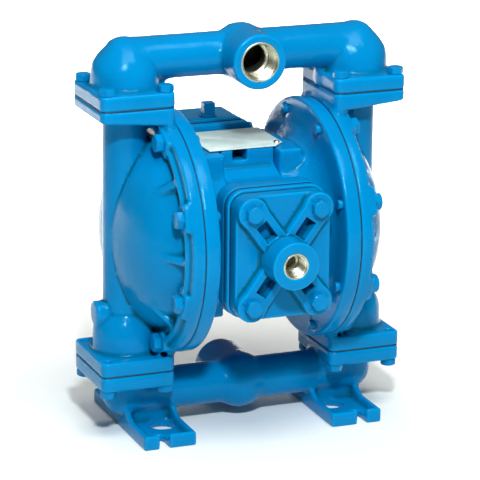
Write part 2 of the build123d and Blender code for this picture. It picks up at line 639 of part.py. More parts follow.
# ---------------------------------------------------------------- centre body
def centre_body():
    body = rod((-NECK_X, 0, ROD_Z), (NECK_X, 0, ROD_Z), BARREL_R)
    body += slab_y(-PAD_HALF_X, PAD_HALF_X, PAD_LOW_Z, PAD_TOP_Z, -BARREL_R - PAD_CLEAR,
                   -FRONT_PAD_Y, PAD_CORNER)
    body += block(-NECK_X, NECK_X, -BARREL_R - 1, 0, PAD_LOW_Z + PAD_ROOT_LOW,
                  PAD_TOP_Z - PAD_ROOT_TOP)
    body += slab_y(-REAR_PAD_HALF_X, REAR_PAD_HALF_X, REAR_PAD_LOW_Z, REAR_PAD_TOP_Z,
                   BARREL_R - 1, REAR_PAD_Y, FLANGE_CORNER)
    body += block(-NECK_X, NECK_X, 0, BARREL_R, REAR_PAD_LOW_Z, VALVE_Z)
    body += block(-DECK_HALF_X, DECK_HALF_X, -DECK_FRONT_Y, DECK_REAR_Y, ROD_Z, PLATE_Z)
    body += block(-DECK_HALF_X, DECK_HALF_X, DECK_REAR_Y - 1, REAR_PAD_Y - 1,
                  VALVE_Z - DECK_TAIL_ROOT, PLATE_Z - DECK_TAIL_DEPTH)
    # window in the deck's front wall
    body -= block(-WINDOW_LEFT_X, -WINDOW_RIGHT_X, -DECK_FRONT_Y - 1,
                  -DECK_FRONT_Y + WINDOW_DEPTH, WINDOW_LOW_Z, WINDOW_TOP_Z)
    # rod bore and its bushings
    body -= rod((-NECK_X - 1, 0, ROD_Z), (NECK_X + 1, 0, ROD_Z), ROD_R + 1.0)
    for side in (-1, 1):
        body -= rod((side * (NECK_X + 1), 0, ROD_Z), (side * (NECK_X - BUSH_L), 0, ROD_Z),
                    BUSH_R + SLIP_GAP)
    # pocket for the pilot valve body, open to the front
    body -= block(-NECK_X - 1, NECK_X + 1, -FRONT_PAD_Y - 1, -PILOT_BLOCK_IN_Y + 1,
                  ROD_Z - PILOT_BLOCK_HALF_Z - 1, ROD_Z + PILOT_BLOCK_HALF_Z + 1)
    # air way from the inlet side to the main valve, over the rod
    body -= rod((0, -FRONT_PAD_Y - 1, AIR_WAY_Z), (0, REAR_PAD_Y + 1, AIR_WAY_Z), AIR_WAY_R)
    for x in (-VALVE_WAY_X, VALVE_WAY_X):
        start = (x, VALVE_WAY_START_Y, VALVE_WAY_Z)
        body -= rod(start, (x, REAR_PAD_Y + 1, VALVE_WAY_Z), VALVE_WAY_R)
        body -= rod(start, (3 * x, VALVE_WAY_START_Y, VALVE_WAY_Z), VALVE_WAY_R)
    for sx in (-1, 1):
        for y, z in neck_screw_places():
            body -= rod((sx * (NECK_X - NECK_SCREW_TAP), y, z), (sx * (NECK_X + 1), y, z),
                        SOCKET_SCREW_R + SLIP_GAP)
    for x, z in cap_bolt_places():
        body -= rod((x, -FRONT_PAD_Y - 1, z), (x, -FRONT_PAD_Y + CAP_BOLT_TAP, z),
                    CAP_BOLT_R + SLIP_GAP)
    for x, z in valve_bolt_places():
        body -= rod((x, REAR_PAD_Y + 1, z), (x, REAR_PAD_Y - VALVE_SCREW_TAP, z),
                    SOCKET_SCREW_R + SLIP_GAP)
    return body


def cap_bolt_places():
    return [(sx * CAP_BOLT_X, CAP_Z + sz * CAP_BOLT_Z) for sx in (-1, 1) for sz in (-1, 1)]


def valve_bolt_places():
    return [(sx * VALVE_BOLT_X, (REAR_PAD_TOP_Z + VALVE_LOW_Z) / 2 + sz * VALVE_BOLT_Z)
            for sx in (-1, 1) for sz in (-1, 1)]


def plate_gasket(y_near, y_far, margin):
    """Plate with the air inlet cap's outline, drilled for its bolts."""
    shape = slab_y(-CAP_HALF_X - margin, CAP_HALF_X + margin, CAP_Z - CAP_HALF_Z - margin,
                   CAP_Z + CAP_HALF_Z + margin, -y_near, -y_far, CAP_LOBE_R + margin)
    for x, z in cap_bolt_places():
        shape -= rod((x, -y_near + 1, z), (x, -y_far - 1, z), CAP_BOLT_R + HOLE_GAP)
    return shape


def pilot_air_way(shape, y_near, y_far):
    return shape - rod((0, -y_near + 1, AIR_WAY_Z), (0, -y_far - 1, AIR_WAY_Z), AIR_WAY_R)


def body_gasket():
    shape = plate_gasket(FRONT_PAD_Y, PILOT_PLATE_Y, PILOT_PLATE_MARGIN)
    shape -= block(-PILOT_HALF - 1, PILOT_HALF + 1, -FRONT_PAD_Y + 1, -PILOT_PLATE_Y - 1,
                   ROD_Z - PILOT_BLOCK_HALF_Z - 1, ROD_Z + PILOT_BLOCK_HALF_Z + 1)
    return pilot_air_way(shape, FRONT_PAD_Y, PILOT_PLATE_Y)


def pilot_valve_body():
    """Plate between centre body and inlet cap, with the block that holds the pilot valve."""
    plate_end = PILOT_PLATE_Y + PILOT_PLATE
    shape = plate_gasket(PILOT_PLATE_Y, plate_end, PILOT_PLATE_MARGIN)
    shape += block(-PILOT_HALF, PILOT_HALF, -PILOT_PLATE_Y - 1, -PILOT_BLOCK_IN_Y,
                   ROD_Z - PILOT_BLOCK_HALF_Z, ROD_Z + PILOT_BLOCK_HALF_Z)
    shape -= rod((-PILOT_HALF - 1, -PILOT_Y, ROD_Z), (PILOT_HALF + 1, -PILOT_Y, ROD_Z),
                 PILOT_SLEEVE_R + SLIP_GAP)
    shape -= rod((0, -PILOT_Y, ROD_Z), (0, -plate_end - 1, ROD_Z), 4)
    return pilot_air_way(shape, PILOT_PLATE_Y, plate_end)


def cap_gasket():
    shape = plate_gasket(CAP_BACK_Y - GASKET, CAP_BACK_Y, 0)
    return shape - rod((0, -CAP_BACK_Y + 2, INLET_Z), (0, -CAP_BACK_Y - 1, INLET_Z),
                       CAP_GASKET_HOLE_R)


def air_inlet_cap():
    """Cap with a threaded boss, four bolt lobes and cross arms with pockets."""
    cap = slab_y(-CAP_HALF_X, CAP_HALF_X, CAP_Z - CAP_HALF_Z, CAP_Z + CAP_HALF_Z,
                 -CAP_BACK_Y, -CAP_FACE_Y, CAP_LOBE_R)
    for x, z in cap_bolt_places():
        cap += rod((x, -CAP_FACE_Y + 1, z), (x, -CAP_ARM_Y, z), CAP_LOBE_R)
        cap += cap_arm(x, z, 0, sqrt(CAP_BOLT_X ** 2 + CAP_BOLT_Z ** 2), CAP_ARM_HALF,
                       CAP_FACE_Y - 1, CAP_ARM_Y)
    cap += rod((0, -CAP_FACE_Y + 1, INLET_Z), (0, -INLET_Y, INLET_Z), INLET_R)
    for x, z in cap_bolt_places():
        cap -= cap_arm(x, z, CAP_POCKET_IN, CAP_POCKET_OUT, CAP_POCKET_HALF,
                       CAP_ARM_Y - CAP_POCKET_DEPTH, CAP_ARM_Y + 1)
        cap -= rod((x, -CAP_BACK_Y + 1, z), (x, -CAP_ARM_Y - 1, z), CAP_BOLT_R + HOLE_GAP)
    cap += rod((0, -CAP_FACE_Y + 1, INLET_Z), (0, -INLET_Y, INLET_Z), INLET_R)
    cap -= rod((0, -INLET_Y - 1, INLET_Z), (0, -INLET_Y + INLET_BORE_DEPTH, INLET_Z),
               INLET_BORE_R)
    cap -= rod((0, -INLET_Y, INLET_Z), (0, -CAP_BACK_Y + 1, INLET_Z), INLET_WAY_R)
    cap -= cone((0, -INLET_Y - 0.01, INLET_Z), (0, -INLET_Y + HUB_CHAMFER, INLET_Z),
                INLET_BORE_R + HUB_CHAMFER, INLET_BORE_R - 0.01)
    cap -= air_chest()
    return cap


def air_chest():
    """Hollow in the back of the cap that feeds the air way."""
    return slab_y(-AIR_CHEST_HALF_X, AIR_CHEST_HALF_X, INLET_Z - AIR_CHEST_LOW,
                  ROD_Z + AIR_CHEST_RISE, -CAP_BACK_Y + 1, -CAP_BACK_Y - AIR_CHEST_DEPTH,
                  FLANGE_CORNER)


def cap_arm(x, z, start, end, half, y_near, y_far):
    """Bar in the cap's face from the middle towards one bolt."""
    angle = degrees(atan2(z - CAP_Z, x))
    bar = block(start, end, -y_far, -y_near, -half, half)
    return Pos(0, 0, CAP_Z) * Rot(0, -angle, 0) * bar


# ---------------------------------------------------------------- manifolds
def threaded_hub(axis_z, facing, bore_depth):
    """Cutting tool for a hub's bore, facing -1 to the front and +1 to the rear."""
    face = facing * HUB_REACH
    bore = rod((0, face + facing, axis_z), (0, face - facing * bore_depth, axis_z), HUB_BORE_R)
    bore += rod((0, face, axis_z), (0, 0, axis_z), PIPE_BORE_R)
    bore += cone((0, face + facing * 0.01, axis_z), (0, face - facing * HUB_CHAMFER, axis_z),
                 HUB_BORE_R + HUB_CHAMFER, HUB_BORE_R - 0.01)
    return bore


def discharge_manifold():
    body = rod((-COLUMN_X, 0, DISCHARGE_Z), (COLUMN_X, 0, DISCHARGE_Z), PIPE_R)
    body += rod((0, 0, DISCHARGE_HUB_Z), (0, -HUB_REACH, DISCHARGE_HUB_Z), HUB_R)
    body += Pos(0, 0, DISCHARGE_Z) * Sphere(TEE_R)
    end = Pos(COLUMN_X, 0, DISCHARGE_Z) * Sphere(ELBOW_R)
    end += port_flange(FLANGE_TOP_Z, FLANGE_TOP_Z + DISCHARGE_FLANGE)
    end += rod((COLUMN_X, 0, FLANGE_TOP_Z), (COLUMN_X, 0, CAGE_BULB_Z), CAGE_BULB_R)
    end += Pos(COLUMN_X, 0, CAGE_BULB_Z) * Sphere(CAGE_BULB_R)
    end += block(COLUMN_X - CAGE_BULB_R - WEB_REACH / 2, COLUMN_X, -WEB_HALF, WEB_HALF,
                 FLANGE_TOP_Z + 1, DISCHARGE_Z)
    end -= below(FLANGE_TOP_Z)
    hollow = ball_cage(FLANGE_TOP_Z, CAGE_BULB_Z + CAGE_R)
    hollow += rod((0, 0, DISCHARGE_Z), (COLUMN_X, 0, DISCHARGE_Z), PIPE_BORE_R)
    hollow -= cage_ribs(FLANGE_TOP_Z)
    end = cut_flange_bolts(end, FLANGE_TOP_Z - 1, DISCHARGE_Z + PIPE_R, FLANGE_BOLT_R + HOLE_GAP)
    body += end
    body += mirrored(end)
    body -= hollow
    body -= mirrored(hollow)
    body -= threaded_hub(DISCHARGE_HUB_Z, -1, HUB_BORE_DEPTH)
    return body


def foot():
    """Right hand foot: open tray with walls, saddle, round holes and open end slots."""
    shape = block(FOOT_IN_X, FOOT_OUT_X, -FOOT_FRONT_Y, FOOT_REAR_Y, 0, FOOT_WALL_Z)
    shape -= block(FOOT_IN_X + FOOT_WALL, FOOT_OUT_X - FOOT_WALL, -FOOT_FRONT_Y + FOOT_WALL,
                   FOOT_REAR_Y - FOOT_WALL, FOOT_FLOOR, FOOT_WALL_Z + 1)
    saddle = block(FOOT_IN_X, FOOT_OUT_X, -FOOT_SADDLE_HALF, FOOT_SADDLE_HALF, 0, FOOT_SADDLE_Z)
    shape += saddle
    for wall_x in (FOOT_IN_X, FOOT_OUT_X - FOOT_WALL):
        shape += wall_sweep(wall_x, 1)
        shape += wall_sweep(wall_x, -1)
    for y in (-FOOT_HOLE_Y, FOOT_HOLE_Y):
        shape -= rod((FOOT_HOLE_X, y, -1), (FOOT_HOLE_X, y, FOOT_FLOOR + 1), FOOT_HOLE_R)
    for end_y, inward in ((-FOOT_FRONT_Y, 1), (FOOT_REAR_Y, -1)):
        slot_end = end_y + inward * FOOT_SLOT_DEPTH
        shape -= block(FOOT_SLOT_X - FOOT_SLOT_HALF, FOOT_SLOT_X + FOOT_SLOT_HALF,
                       end_y - inward, slot_end, -1, FOOT_WALL_Z + 1)
        shape -= rod((FOOT_SLOT_X, slot_end, -1), (FOOT_SLOT_X, slot_end, FOOT_WALL_Z + 1),
                     FOOT_SLOT_HALF)
    return shape


def wall_sweep(wall_x, side):
    """Triangular part of a tray wall that climbs to the saddle."""
    outline = Polyline(
        (wall_x, side * (FOOT_SADDLE_HALF - 1), FOOT_WALL_Z - 1),
        (wall_x, side * (FOOT_SADDLE_HALF - 1), FOOT_SADDLE_Z),
        (wall_x, side * (FOOT_SADDLE_HALF + 6), FOOT_WALL_Z + 4),
        (wall_x, side * (FOOT_SADDLE_HALF + 16), FOOT_WALL_Z - 1),
        close=True,
    )
    return extrude(Face(outline), FOOT_WALL, dir=(1, 0, 0))


def suction_manifold():
    body = rod((-COLUMN_X, 0, SUCTION_Z), (COLUMN_X, 0, SUCTION_Z), PIPE_R)
    body += rod((0, 0, SUCTION_Z), (0, HUB_REACH, SUCTION_Z), HUB_R)
    body += Pos(0, 0, SUCTION_Z) * Sphere(TEE_R)
    end = Pos(COLUMN_X, 0, SUCTION_Z) * Sphere(ELBOW_R)
    end += rod((COLUMN_X, 0, SUCTION_Z), (COLUMN_X, 0, FLANGE_LOW_Z), ELBOW_R)
    end += port_flange(FLANGE_LOW_Z - SUCTION_FLANGE, FLANGE_LOW_Z)
    end += foot()
    end = cut_flange_bolts(
        end, FLANGE_LOW_Z - SUCTION_FLANGE - 1, FLANGE_LOW_Z + 1, FLANGE_BOLT_R + HOLE_GAP
    )
    hollow = Pos(COLUMN_X, 0, SUCTION_Z) * Sphere(PIPE_BORE_R)
    hollow += rod((COLUMN_X, 0, SUCTION_Z), (COLUMN_X, 0, FLANGE_LOW_Z), PIPE_BORE_R)
    hollow += rod((COLUMN_X, 0, FLANGE_LOW_Z - SEAT_H - SEAL_D), (COLUMN_X, 0, FLANGE_LOW_Z + 1),
                  SEAT_R + SLIP_GAP)
    body += end
    body += mirrored(end)
    body -= rod((-COLUMN_X, 0, SUCTION_Z), (COLUMN_X, 0, SUCTION_Z), PIPE_BORE_R)
    body -= hollow
    body -= mirrored(hollow)
    body -= threaded_hub(SUCTION_Z, 1, HUB_BORE_DEPTH)
    return body


# ---------------------------------------------------------------- check valves
def valve_seat(joint_z):
    top = (COLUMN_X, 0, joint_z)
    foot_z = joint_z - SEAT_H
    seat = rod((COLUMN_X, 0, foot_z), top, SEAT_R)
    seat -= rod((COLUMN_X, 0, foot_z - 1), (COLUMN_X, 0, joint_z + 1), SEAT_BORE_R)
    seat -= cone((COLUMN_X, 0, joint_z - SEAT_CONE), (COLUMN_X, 0, joint_z + 0.01),
                 SEAT_BORE_R, CONE_R + 0.01)
    return seat


def seat_seal(joint_z):
    """Seal cord squeezed under the seat."""
    middle_z = joint_z - SEAT_H - SEAL_D / 2
    return Pos(COLUMN_X, 0, middle_z) * Torus(SEAT_R - SEAL_D / 2 - 0.3, SEAL_D / 2)


def ball(joint_z):
    return Pos(COLUMN_X, 0, joint_z + BALL_ABOVE_JOINT) * Sphere(BALL_R)


# ---------------------------------------------------------------- diaphragm rod train
def diaphragm():
    """Moulded rubber disc with a clamped bead and one rolled convolution."""
    middle_r = (INNER_PLATE_R + DIAPHRAGM_GROOVE_IN_R) / 2
    half_w = DIAPHRAGM_WEB / 2
    body = ring((DIAPHRAGM_X - half_w, 0, ROD_Z), (DIAPHRAGM_X + half_w, 0, ROD_Z),
                middle_r - 9, STUD_R + 0.4)
    bead = DIAPHRAGM_BEAD / 2 - 0.05
    body += ring((DIAPHRAGM_X - bead, 0, ROD_Z), (DIAPHRAGM_X + bead, 0, ROD_Z),
                 DIAPHRAGM_R, DIAPHRAGM_GROOVE_IN_R)
    outline = [
        (DIAPHRAGM_X - half_w, middle_r - 9.5), (DIAPHRAGM_X - half_w, middle_r - 8),
        (DIAPHRAGM_X - half_w + DIAPHRAGM_ROLL, middle_r - 3), (DIAPHRAGM_X - half_w + DIAPHRAGM_ROLL, middle_r + 3),
        (DIAPHRAGM_X - half_w, middle_r + 8), (DIAPHRAGM_X - half_w, DIAPHRAGM_GROOVE_IN_R + 0.5),
        (DIAPHRAGM_X + half_w, DIAPHRAGM_GROOVE_IN_R + 0.5), (DIAPHRAGM_X + half_w, middle_r + 9),
        (DIAPHRAGM_X + half_w + DIAPHRAGM_ROLL, middle_r + 4), (DIAPHRAGM_X + half_w + DIAPHRAGM_ROLL, middle_r - 4),
        (DIAPHRAGM_X + half_w, middle_r - 9), (DIAPHRAGM_X + half_w, middle_r - 9.5),
    ]
    return body + around_rod(outline)


def clamp_plate(x0, x1, radius, inward):
    """Round diaphragm plate with an eased outer edge on its free side."""
    plate = rod((x0, 0, ROD_Z), (x1, 0, ROD_Z), radius)
    free = plate.edges().filter_by(GeomType.CIRCLE).sort_by(Axis.X)[0 if inward else -1]
    plate = fillet(free, 3.0)
    return plate - rod((x0 - 1, 0, ROD_Z), (x1 + 1, 0, ROD_Z), STUD_R + SLIP_GAP)


def diaphragm_rod():
    body = rod((-INNER_PLATE_X, 0, ROD_Z), (INNER_PLATE_X, 0, ROD_Z), ROD_R)
    end = OUTER_PLATE_X + WASHER_T + NUT_H + 3
    return body + rod((-end, 0, ROD_Z), (end, 0, ROD_Z), STUD_R)


def rod_nut():
    base = OUTER_PLATE_X + WASHER_T
    nut = hexagon((base, 0, ROD_Z), (1, 0, 0), NUT_AF, NUT_H)
    return nut - rod((base - 1, 0, ROD_Z), (base + NUT_H + 1, 0, ROD_Z), STUD_R + SLIP_GAP)


def rod_washer():
    return ring((OUTER_PLATE_X, 0, ROD_Z), (OUTER_PLATE_X + WASHER_T, 0, ROD_Z),
                WASHER_R, STUD_R + SLIP_GAP)


def rod_bushing():
    return ring((NECK_X - BUSH_L, 0, ROD_Z), (NECK_X, 0, ROD_Z), BUSH_R, ROD_R + RUN_GAP)


def rod_seal():
    return ring((ROD_SEAL_X, 0, ROD_Z), (ROD_SEAL_X + ROD_SEAL_L, 0, ROD_Z),
                ROD_SEAL_R, ROD_R + RUN_GAP)


def bumper():
    return ring((CAVITY_FLOOR_X - BUMPER_SINK, 0, ROD_Z), (BUMPER_TOP_X, 0, ROD_Z),
                BUMPER_R, BUMPER_BORE_R)


# ---------------------------------------------------------------- pilot valve
def on_pilot(x):
    return (x, -PILOT_Y, ROD_Z)


def pilot_sleeve():
    sleeve = ring(on_pilot(-PILOT_HALF), on_pilot(PILOT_HALF), PILOT_SLEEVE_R,
                  PILOT_SPOOL_R + RUN_GAP)
    for x in (-12, 0, 12):
        sleeve -= Pos(x, -PILOT_Y, ROD_Z) * Cylinder(2, 4 * PILOT_SLEEVE_R, align=CENTRE)
    return sleeve


def pilot_spool():
    spool = rod(on_pilot(-PILOT_SPOOL_HALF), on_pilot(PILOT_SPOOL_HALF), PILOT_SPOOL_R)
    for x in (-6, 6):
        spool -= ring(on_pilot(x - 2.5), on_pilot(x + 2.5), PILOT_SPOOL_R + 1, PILOT_SPOOL_R - 2)
    return spool


def plunger():
    return rod(on_pilot(PILOT_SPOOL_HALF + PLUNGER_END_GAP), on_pilot(PLUNGER_TIP_X), PLUNGER_R)


def plunger_bushing():
    return ring(on_pilot(CAVITY_FLOOR_X - PLUNGER_BUSH_L), on_pilot(CAVITY_FLOOR_X),
                PLUNGER_BUSH_R, PLUNGER_R + RUN_GAP)


# ---------------------------------------------------------------- main air valve
def on_valve(x):
    return (x, VALVE_Y, VALVE_Z)


def main_valve_body():
    shape = block(-VALVE_HALF_X, VALVE_HALF_X, VALVE_FRONT_Y, VALVE_REAR_Y, VALVE_LOW_Z,
                  VALVE_TOP_Z)
    ridges = shape.edges().filter_by(Axis.Y).sort_by(Axis.Z)[-2:]
    shape = fillet(ridges, VALVE_ROUND)
    seat_z = VALVE_TOP_Z + PLUG_BOSS
    shape += rod((PLUG_X, PLUG_Y, VALVE_TOP_Z - 2), (PLUG_X, PLUG_Y, seat_z), PLUG_BOSS_R)
    shape -= rod(on_valve(-VALVE_HALF_X - 1), on_valve(VALVE_HALF_X + 1),
                 VALVE_SLEEVE_R + SLIP_GAP)
    shape -= rod((PLUG_X, PLUG_Y, seat_z + 1), (PLUG_X, PLUG_Y, seat_z - PLUG_DEPTH - 1),
                 PLUG_R + SLIP_GAP)
    shape -= rod((0, VALVE_Y, VALVE_LOW_Z - 1), (0, VALVE_Y, VALVE_Z), MUFFLER_NECK_R + SLIP_GAP)
    for x in (-VALVE_WAY_X, VALVE_WAY_X):
        shape -= rod((x, VALVE_FRONT_Y - 1, VALVE_WAY_Z), (x, VALVE_Y, VALVE_WAY_Z), VALVE_WAY_R)
        shape -= rod((x, VALVE_Y, VALVE_WAY_Z - VALVE_WAY_R), (x, VALVE_Y, VALVE_Z), VALVE_WAY_R)
    shape -= rod((0, VALVE_FRONT_Y - 1, AIR_WAY_Z), (0, VALVE_FRONT_Y + AIR_WAY_R, AIR_WAY_Z),
                 AIR_WAY_R)
    for x, z in valve_bolt_places():
        shape -= rod((x, VALVE_FRONT_Y - 1, z), (x, VALVE_REAR_Y + 1, z),
                     SOCKET_SCREW_R + HOLE_GAP)
    for side in (-1, 1):
        for y, z in cap_screw_places():
            shape -= rod((side * (VALVE_HALF_X - 9), y, z), (side * (VALVE_HALF_X + 1), y, z),
                         SOCKET_SCREW_R + SLIP_GAP)
    return shape


def cap_screw_places():
    return [(VALVE_Y + sy * VALVE_CAP_SCREW, VALVE_Z + sz * VALVE_CAP_SCREW)
            for sy in (-1, 1) for sz in (-1, 1)]


def valve_end_cap():
    shape = block(VALVE_HALF_X, VALVE_HALF_X + VALVE_CAP, VALVE_Y - VALVE_CAP_HALF,
                  VALVE_Y + VALVE_CAP_HALF, VALVE_Z - VALVE_CAP_HALF, VALVE_Z + VALVE_CAP_HALF)
    shape = fillet(shape.edges().filter_by(Axis.X), 7)
    shape = fillet(shape.faces().sort_by(Axis.X)[-1].edges(), 2)
    shape -= rod(on_valve(VALVE_HALF_X - 1), on_valve(VALVE_HALF_X + 4), VALVE_SPOOL_R)
    for y, z in cap_screw_places():
        shape -= rod((VALVE_HALF_X - 1, y, z), (VALVE_HALF_X + VALVE_CAP + 1, y, z),
                     SOCKET_SCREW_R + HOLE_GAP)
    return shape


def socket_screw(head_seat, direction, shank):
    """Cap screw: head stands on head_seat along direction, shank goes the other way."""
    seat = Vector(*head_seat)
    out = Vector(*direction).normalized()
    top = seat + out * SOCKET_HEAD
    screw = rod(tuple(seat), tuple(top), SOCKET_HEAD_R)
    screw += rod(tuple(seat - out * shank), tuple(seat + out), SOCKET_SCREW_R)
    socket = extrude(Plane(origin=tuple(top), z_dir=tuple(out)) *
                     RegularPolygon(SOCKET_HEAD_R * 0.52, 6), -3)
    return screw - socket


def valve_sleeve():
    sleeve = ring(on_valve(-VALVE_HALF_X), on_valve(VALVE_HALF_X), VALVE_SLEEVE_R,
                  VALVE_SPOOL_R + RUN_GAP)
    for x in (-VALVE_WAY_X, 0, VALVE_WAY_X):
        sleeve -= Pos(x, VALVE_Y, VALVE_Z) * Cylinder(3, 4 * VALVE_SLEEVE_R, align=CENTRE)
    return sleeve


def valve_spool():
    spool = rod(on_valve(-VALVE_SPOOL_HALF), on_valve(VALVE_SPOOL_HALF), VALVE_SPOOL_R)
    for x in (-10, 10):
        spool -= ring(on_valve(x - 4), on_valve(x + 4), VALVE_SPOOL_R + 1, VALVE_SPOOL_R - 3)
    return spool


def valve_gasket():
    shape = slab_y(-REAR_PAD_HALF_X, REAR_PAD_HALF_X, VALVE_LOW_Z, REAR_PAD_TOP_Z,
                   REAR_PAD_Y, VALVE_FRONT_Y, FLANGE_CORNER)
    shape -= rod((0, REAR_PAD_Y - 1, AIR_WAY_Z), (0, VALVE_FRONT_Y + 1, AIR_WAY_Z), AIR_WAY_R)
    for x in (-VALVE_WAY_X, VALVE_WAY_X):
        shape -= rod((x, REAR_PAD_Y - 1, VALVE_WAY_Z), (x, VALVE_FRONT_Y + 1, VALVE_WAY_Z),
                     VALVE_WAY_R)
    for x, z in valve_bolt_places():
        shape -= rod((x, REAR_PAD_Y - 1, z), (x, VALVE_FRONT_Y + 1, z),
                     SOCKET_SCREW_R + HOLE_GAP)
    return shape


def square_plug():
    """Pipe plug with a square head."""
    seat_z = VALVE_TOP_Z + PLUG_BOSS
    head = slab_z(PLUG_X - PLUG_AF / 2, PLUG_X + PLUG_AF / 2, PLUG_Y - PLUG_AF / 2,
                  PLUG_Y + PLUG_AF / 2, seat_z, seat_z + PLUG_HEAD, 1.2)
    return head + rod((PLUG_X, PLUG_Y, seat_z - PLUG_DEPTH), (PLUG_X, PLUG_Y, seat_z + 1), PLUG_R)


def muffler():
    neck_z = VALVE_LOW_Z - 0.3
    body = rod((0, VALVE_Y, neck_z), (0, VALVE_Y, neck_z - MUFFLER_L), MUFFLER_R)
    body = fillet(body.edges().filter_by(GeomType.CIRCLE).sort_by(Axis.Z)[0], 5)
    body += rod((0, VALVE_Y, neck_z - 1), (0, VALVE_Y, neck_z + MUFFLER_NECK_L), MUFFLER_NECK_R)
    return body


# ---------------------------------------------------------------- fasteners
def chamber_bolts():
    bolts = []
    for angle in rim_bolt_angles():
        y, z = on_rim(angle, RIM_BOLT_R)
        bolt = hexagon((PAD_X, y, z), (1, 0, 0), CHAMBER_BOLT_AF, CHAMBER_BOLT_HEAD, angle)
        bolt += rod((INNER_RIM_X - CHAMBER_BOLT_TIP, y, z), (PAD_X + 1, y, z), CHAMBER_BOLT_R)
        bolts += both_sides(bolt)
    return Compound(children=bolts)


def discharge_bolts():
    bolts = []
    top = FLANGE_TOP_Z + DISCHARGE_FLANGE
    for x, y in flange_bolt_places():
        bolt = hexagon((x, y, top), (0, 0, 1), FLANGE_BOLT_AF, FLANGE_BOLT_HEAD, 17 * x)
        bolt += rod((x, y, FLANGE_TOP_Z - CHAMBER_TOP_FLANGE), (x, y, top + 1), FLANGE_BOLT_R)
        bolts += both_sides(bolt)
    return Compound(children=bolts)


def suction_bolts():
    bolts = []
    low = FLANGE_LOW_Z - SUCTION_FLANGE
    for x, y in flange_bolt_places():
        bolt = hexagon((x, y, low), (0, 0, -1), FLANGE_BOLT_AF, FLANGE_BOLT_HEAD, 23 * x)
        bolt += rod((x, y, low - 1), (x, y, FLANGE_LOW_Z + CHAMBER_LOW_FLANGE - 2), FLANGE_BOLT_R)
        bolts += both_sides(bolt)
    return Compound(children=bolts)


def cap_bolts():
    bolts = []
    for x, z in cap_bolt_places():
        bolt = hexagon((x, -CAP_ARM_Y, z), (0, -1, 0), CAP_BOLT_AF, CAP_BOLT_HEAD, x + z)
        bolt += rod((x, -CAP_ARM_Y - 1, z), (x, -FRONT_PAD_Y + CAP_BOLT_TAP - 1, z), CAP_BOLT_R)
        bolts.append(bolt.solids()[0])
    return Compound(children=bolts)


def neck_screws():
    screws = []
    seat_x = CAVITY_FLOOR_X - SOCKET_HEAD - 0.5
    for y, z in neck_screw_places():
        screw = socket_screw((seat_x, y, z), (1, 0, 0), seat_x - NECK_X + NECK_SCREW_TAP - 1)
        screws += both_sides(screw)
    return Compound(children=screws)


def valve_screws():
    screws = []
    for x, z in valve_bolt_places():
        shank = VALVE_REAR_Y - REAR_PAD_Y + VALVE_SCREW_TAP - 1
        screws += socket_screw((x, VALVE_REAR_Y, z), (0, 1, 0), shank).solids()
    return Compound(children=screws)


def end_cap_screws():
    screws = []
    for y, z in cap_screw_places():
        seat = (VALVE_HALF_X + VALVE_CAP, y, z)
        screws += both_sides(socket_screw(seat, (1, 0, 0), VALVE_CAP + 8))
    return Compound(children=screws)


# ---------------------------------------------------------------- nameplate
def nameplate():
    """Thin bare plate with one clipped corner."""
    front = -PLATE_FRONT_Y
    outline = Polyline(
        (-PLATE_HALF_X, PLATE_REAR_Y, PLATE_Z),
        (PLATE_HALF_X, PLATE_REAR_Y, PLATE_Z),
        (PLATE_HALF_X, front + PLATE_CLIP_Y, PLATE_Z),
        (PLATE_HALF_X - PLATE_CLIP_X, front, PLATE_Z),
        (-PLATE_HALF_X, front, PLATE_Z),
        close=True,
    )
    plate = extrude(Face(outline), PLATE_T, dir=(0, 0, 1))
    for x, y in plate_screw_places():
        plate -= rod((x, y, PLATE_Z - 1), (x, y, PLATE_TOP_Z + 1), PLATE_SCREW_R + HOLE_GAP)
    return plate


def plate_screw_places():
    return [(-PLATE_SCREW_X, PLATE_SCREW_LEFT_Y), (PLATE_SCREW_X, PLATE_SCREW_RIGHT_Y)]


def nameplate_screws():
    screws = []
    for x, y in plate_screw_places():
        screw = rod((x, y, NECK_TOP_Z - PLATE_SCREW_TAP + 1), (x, y, PLATE_TOP_Z + 0.5),
                    PLATE_SCREW_R)
        head = cone((x, y, PLATE_TOP_Z), (x, y, PLATE_TOP_Z + 1.5), PLATE_SCREW_R * 2,
                    PLATE_SCREW_R * 1.3)
        screws.append((screw + head).solids()[0])
    return Compound(children=screws)


# ---------------------------------------------------------------- write the parts
parts_written = []
os.makedirs("parts", exist_ok=True)

right_outer = outer_chamber()
save("outer_chamber_right", right_outer)
save("outer_chamber_left", mirrored(right_outer) + side_boss())
save("inner_chamber_right", inner_chamber(PLATE_SCREW_RIGHT_Y))
save("inner_chamber_left", mirrored(inner_chamber(PLATE_SCREW_LEFT_Y)))
save("centre_body", centre_body())
save("body_gasket", body_gasket())
save("pilot_valve_body", pilot_valve_body())
save("cap_gasket", cap_gasket())
save("air_inlet_cap", air_inlet_cap())
save("discharge_manifold", discharge_manifold())
save("suction_manifold", suction_manifold())

suction_seat = valve_seat(FLANGE_LOW_Z)
discharge_seat = valve_seat(FLANGE_TOP_Z)
save("suction_seats", suction_seat, mirrored(suction_seat))
save("discharge_seats", discharge_seat, mirrored(discharge_seat))
seals = [seat_seal(FLANGE_LOW_Z), seat_seal(FLANGE_TOP_Z)]
save("seat_seals", *seals, *[mirrored(seal) for seal in seals])
for valve, joint_z in (("suction", FLANGE_LOW_Z), ("discharge", FLANGE_TOP_Z)):
    save(f"{valve}_ball_right", ball(joint_z))
    save(f"{valve}_ball_left", mirrored(ball(joint_z)))

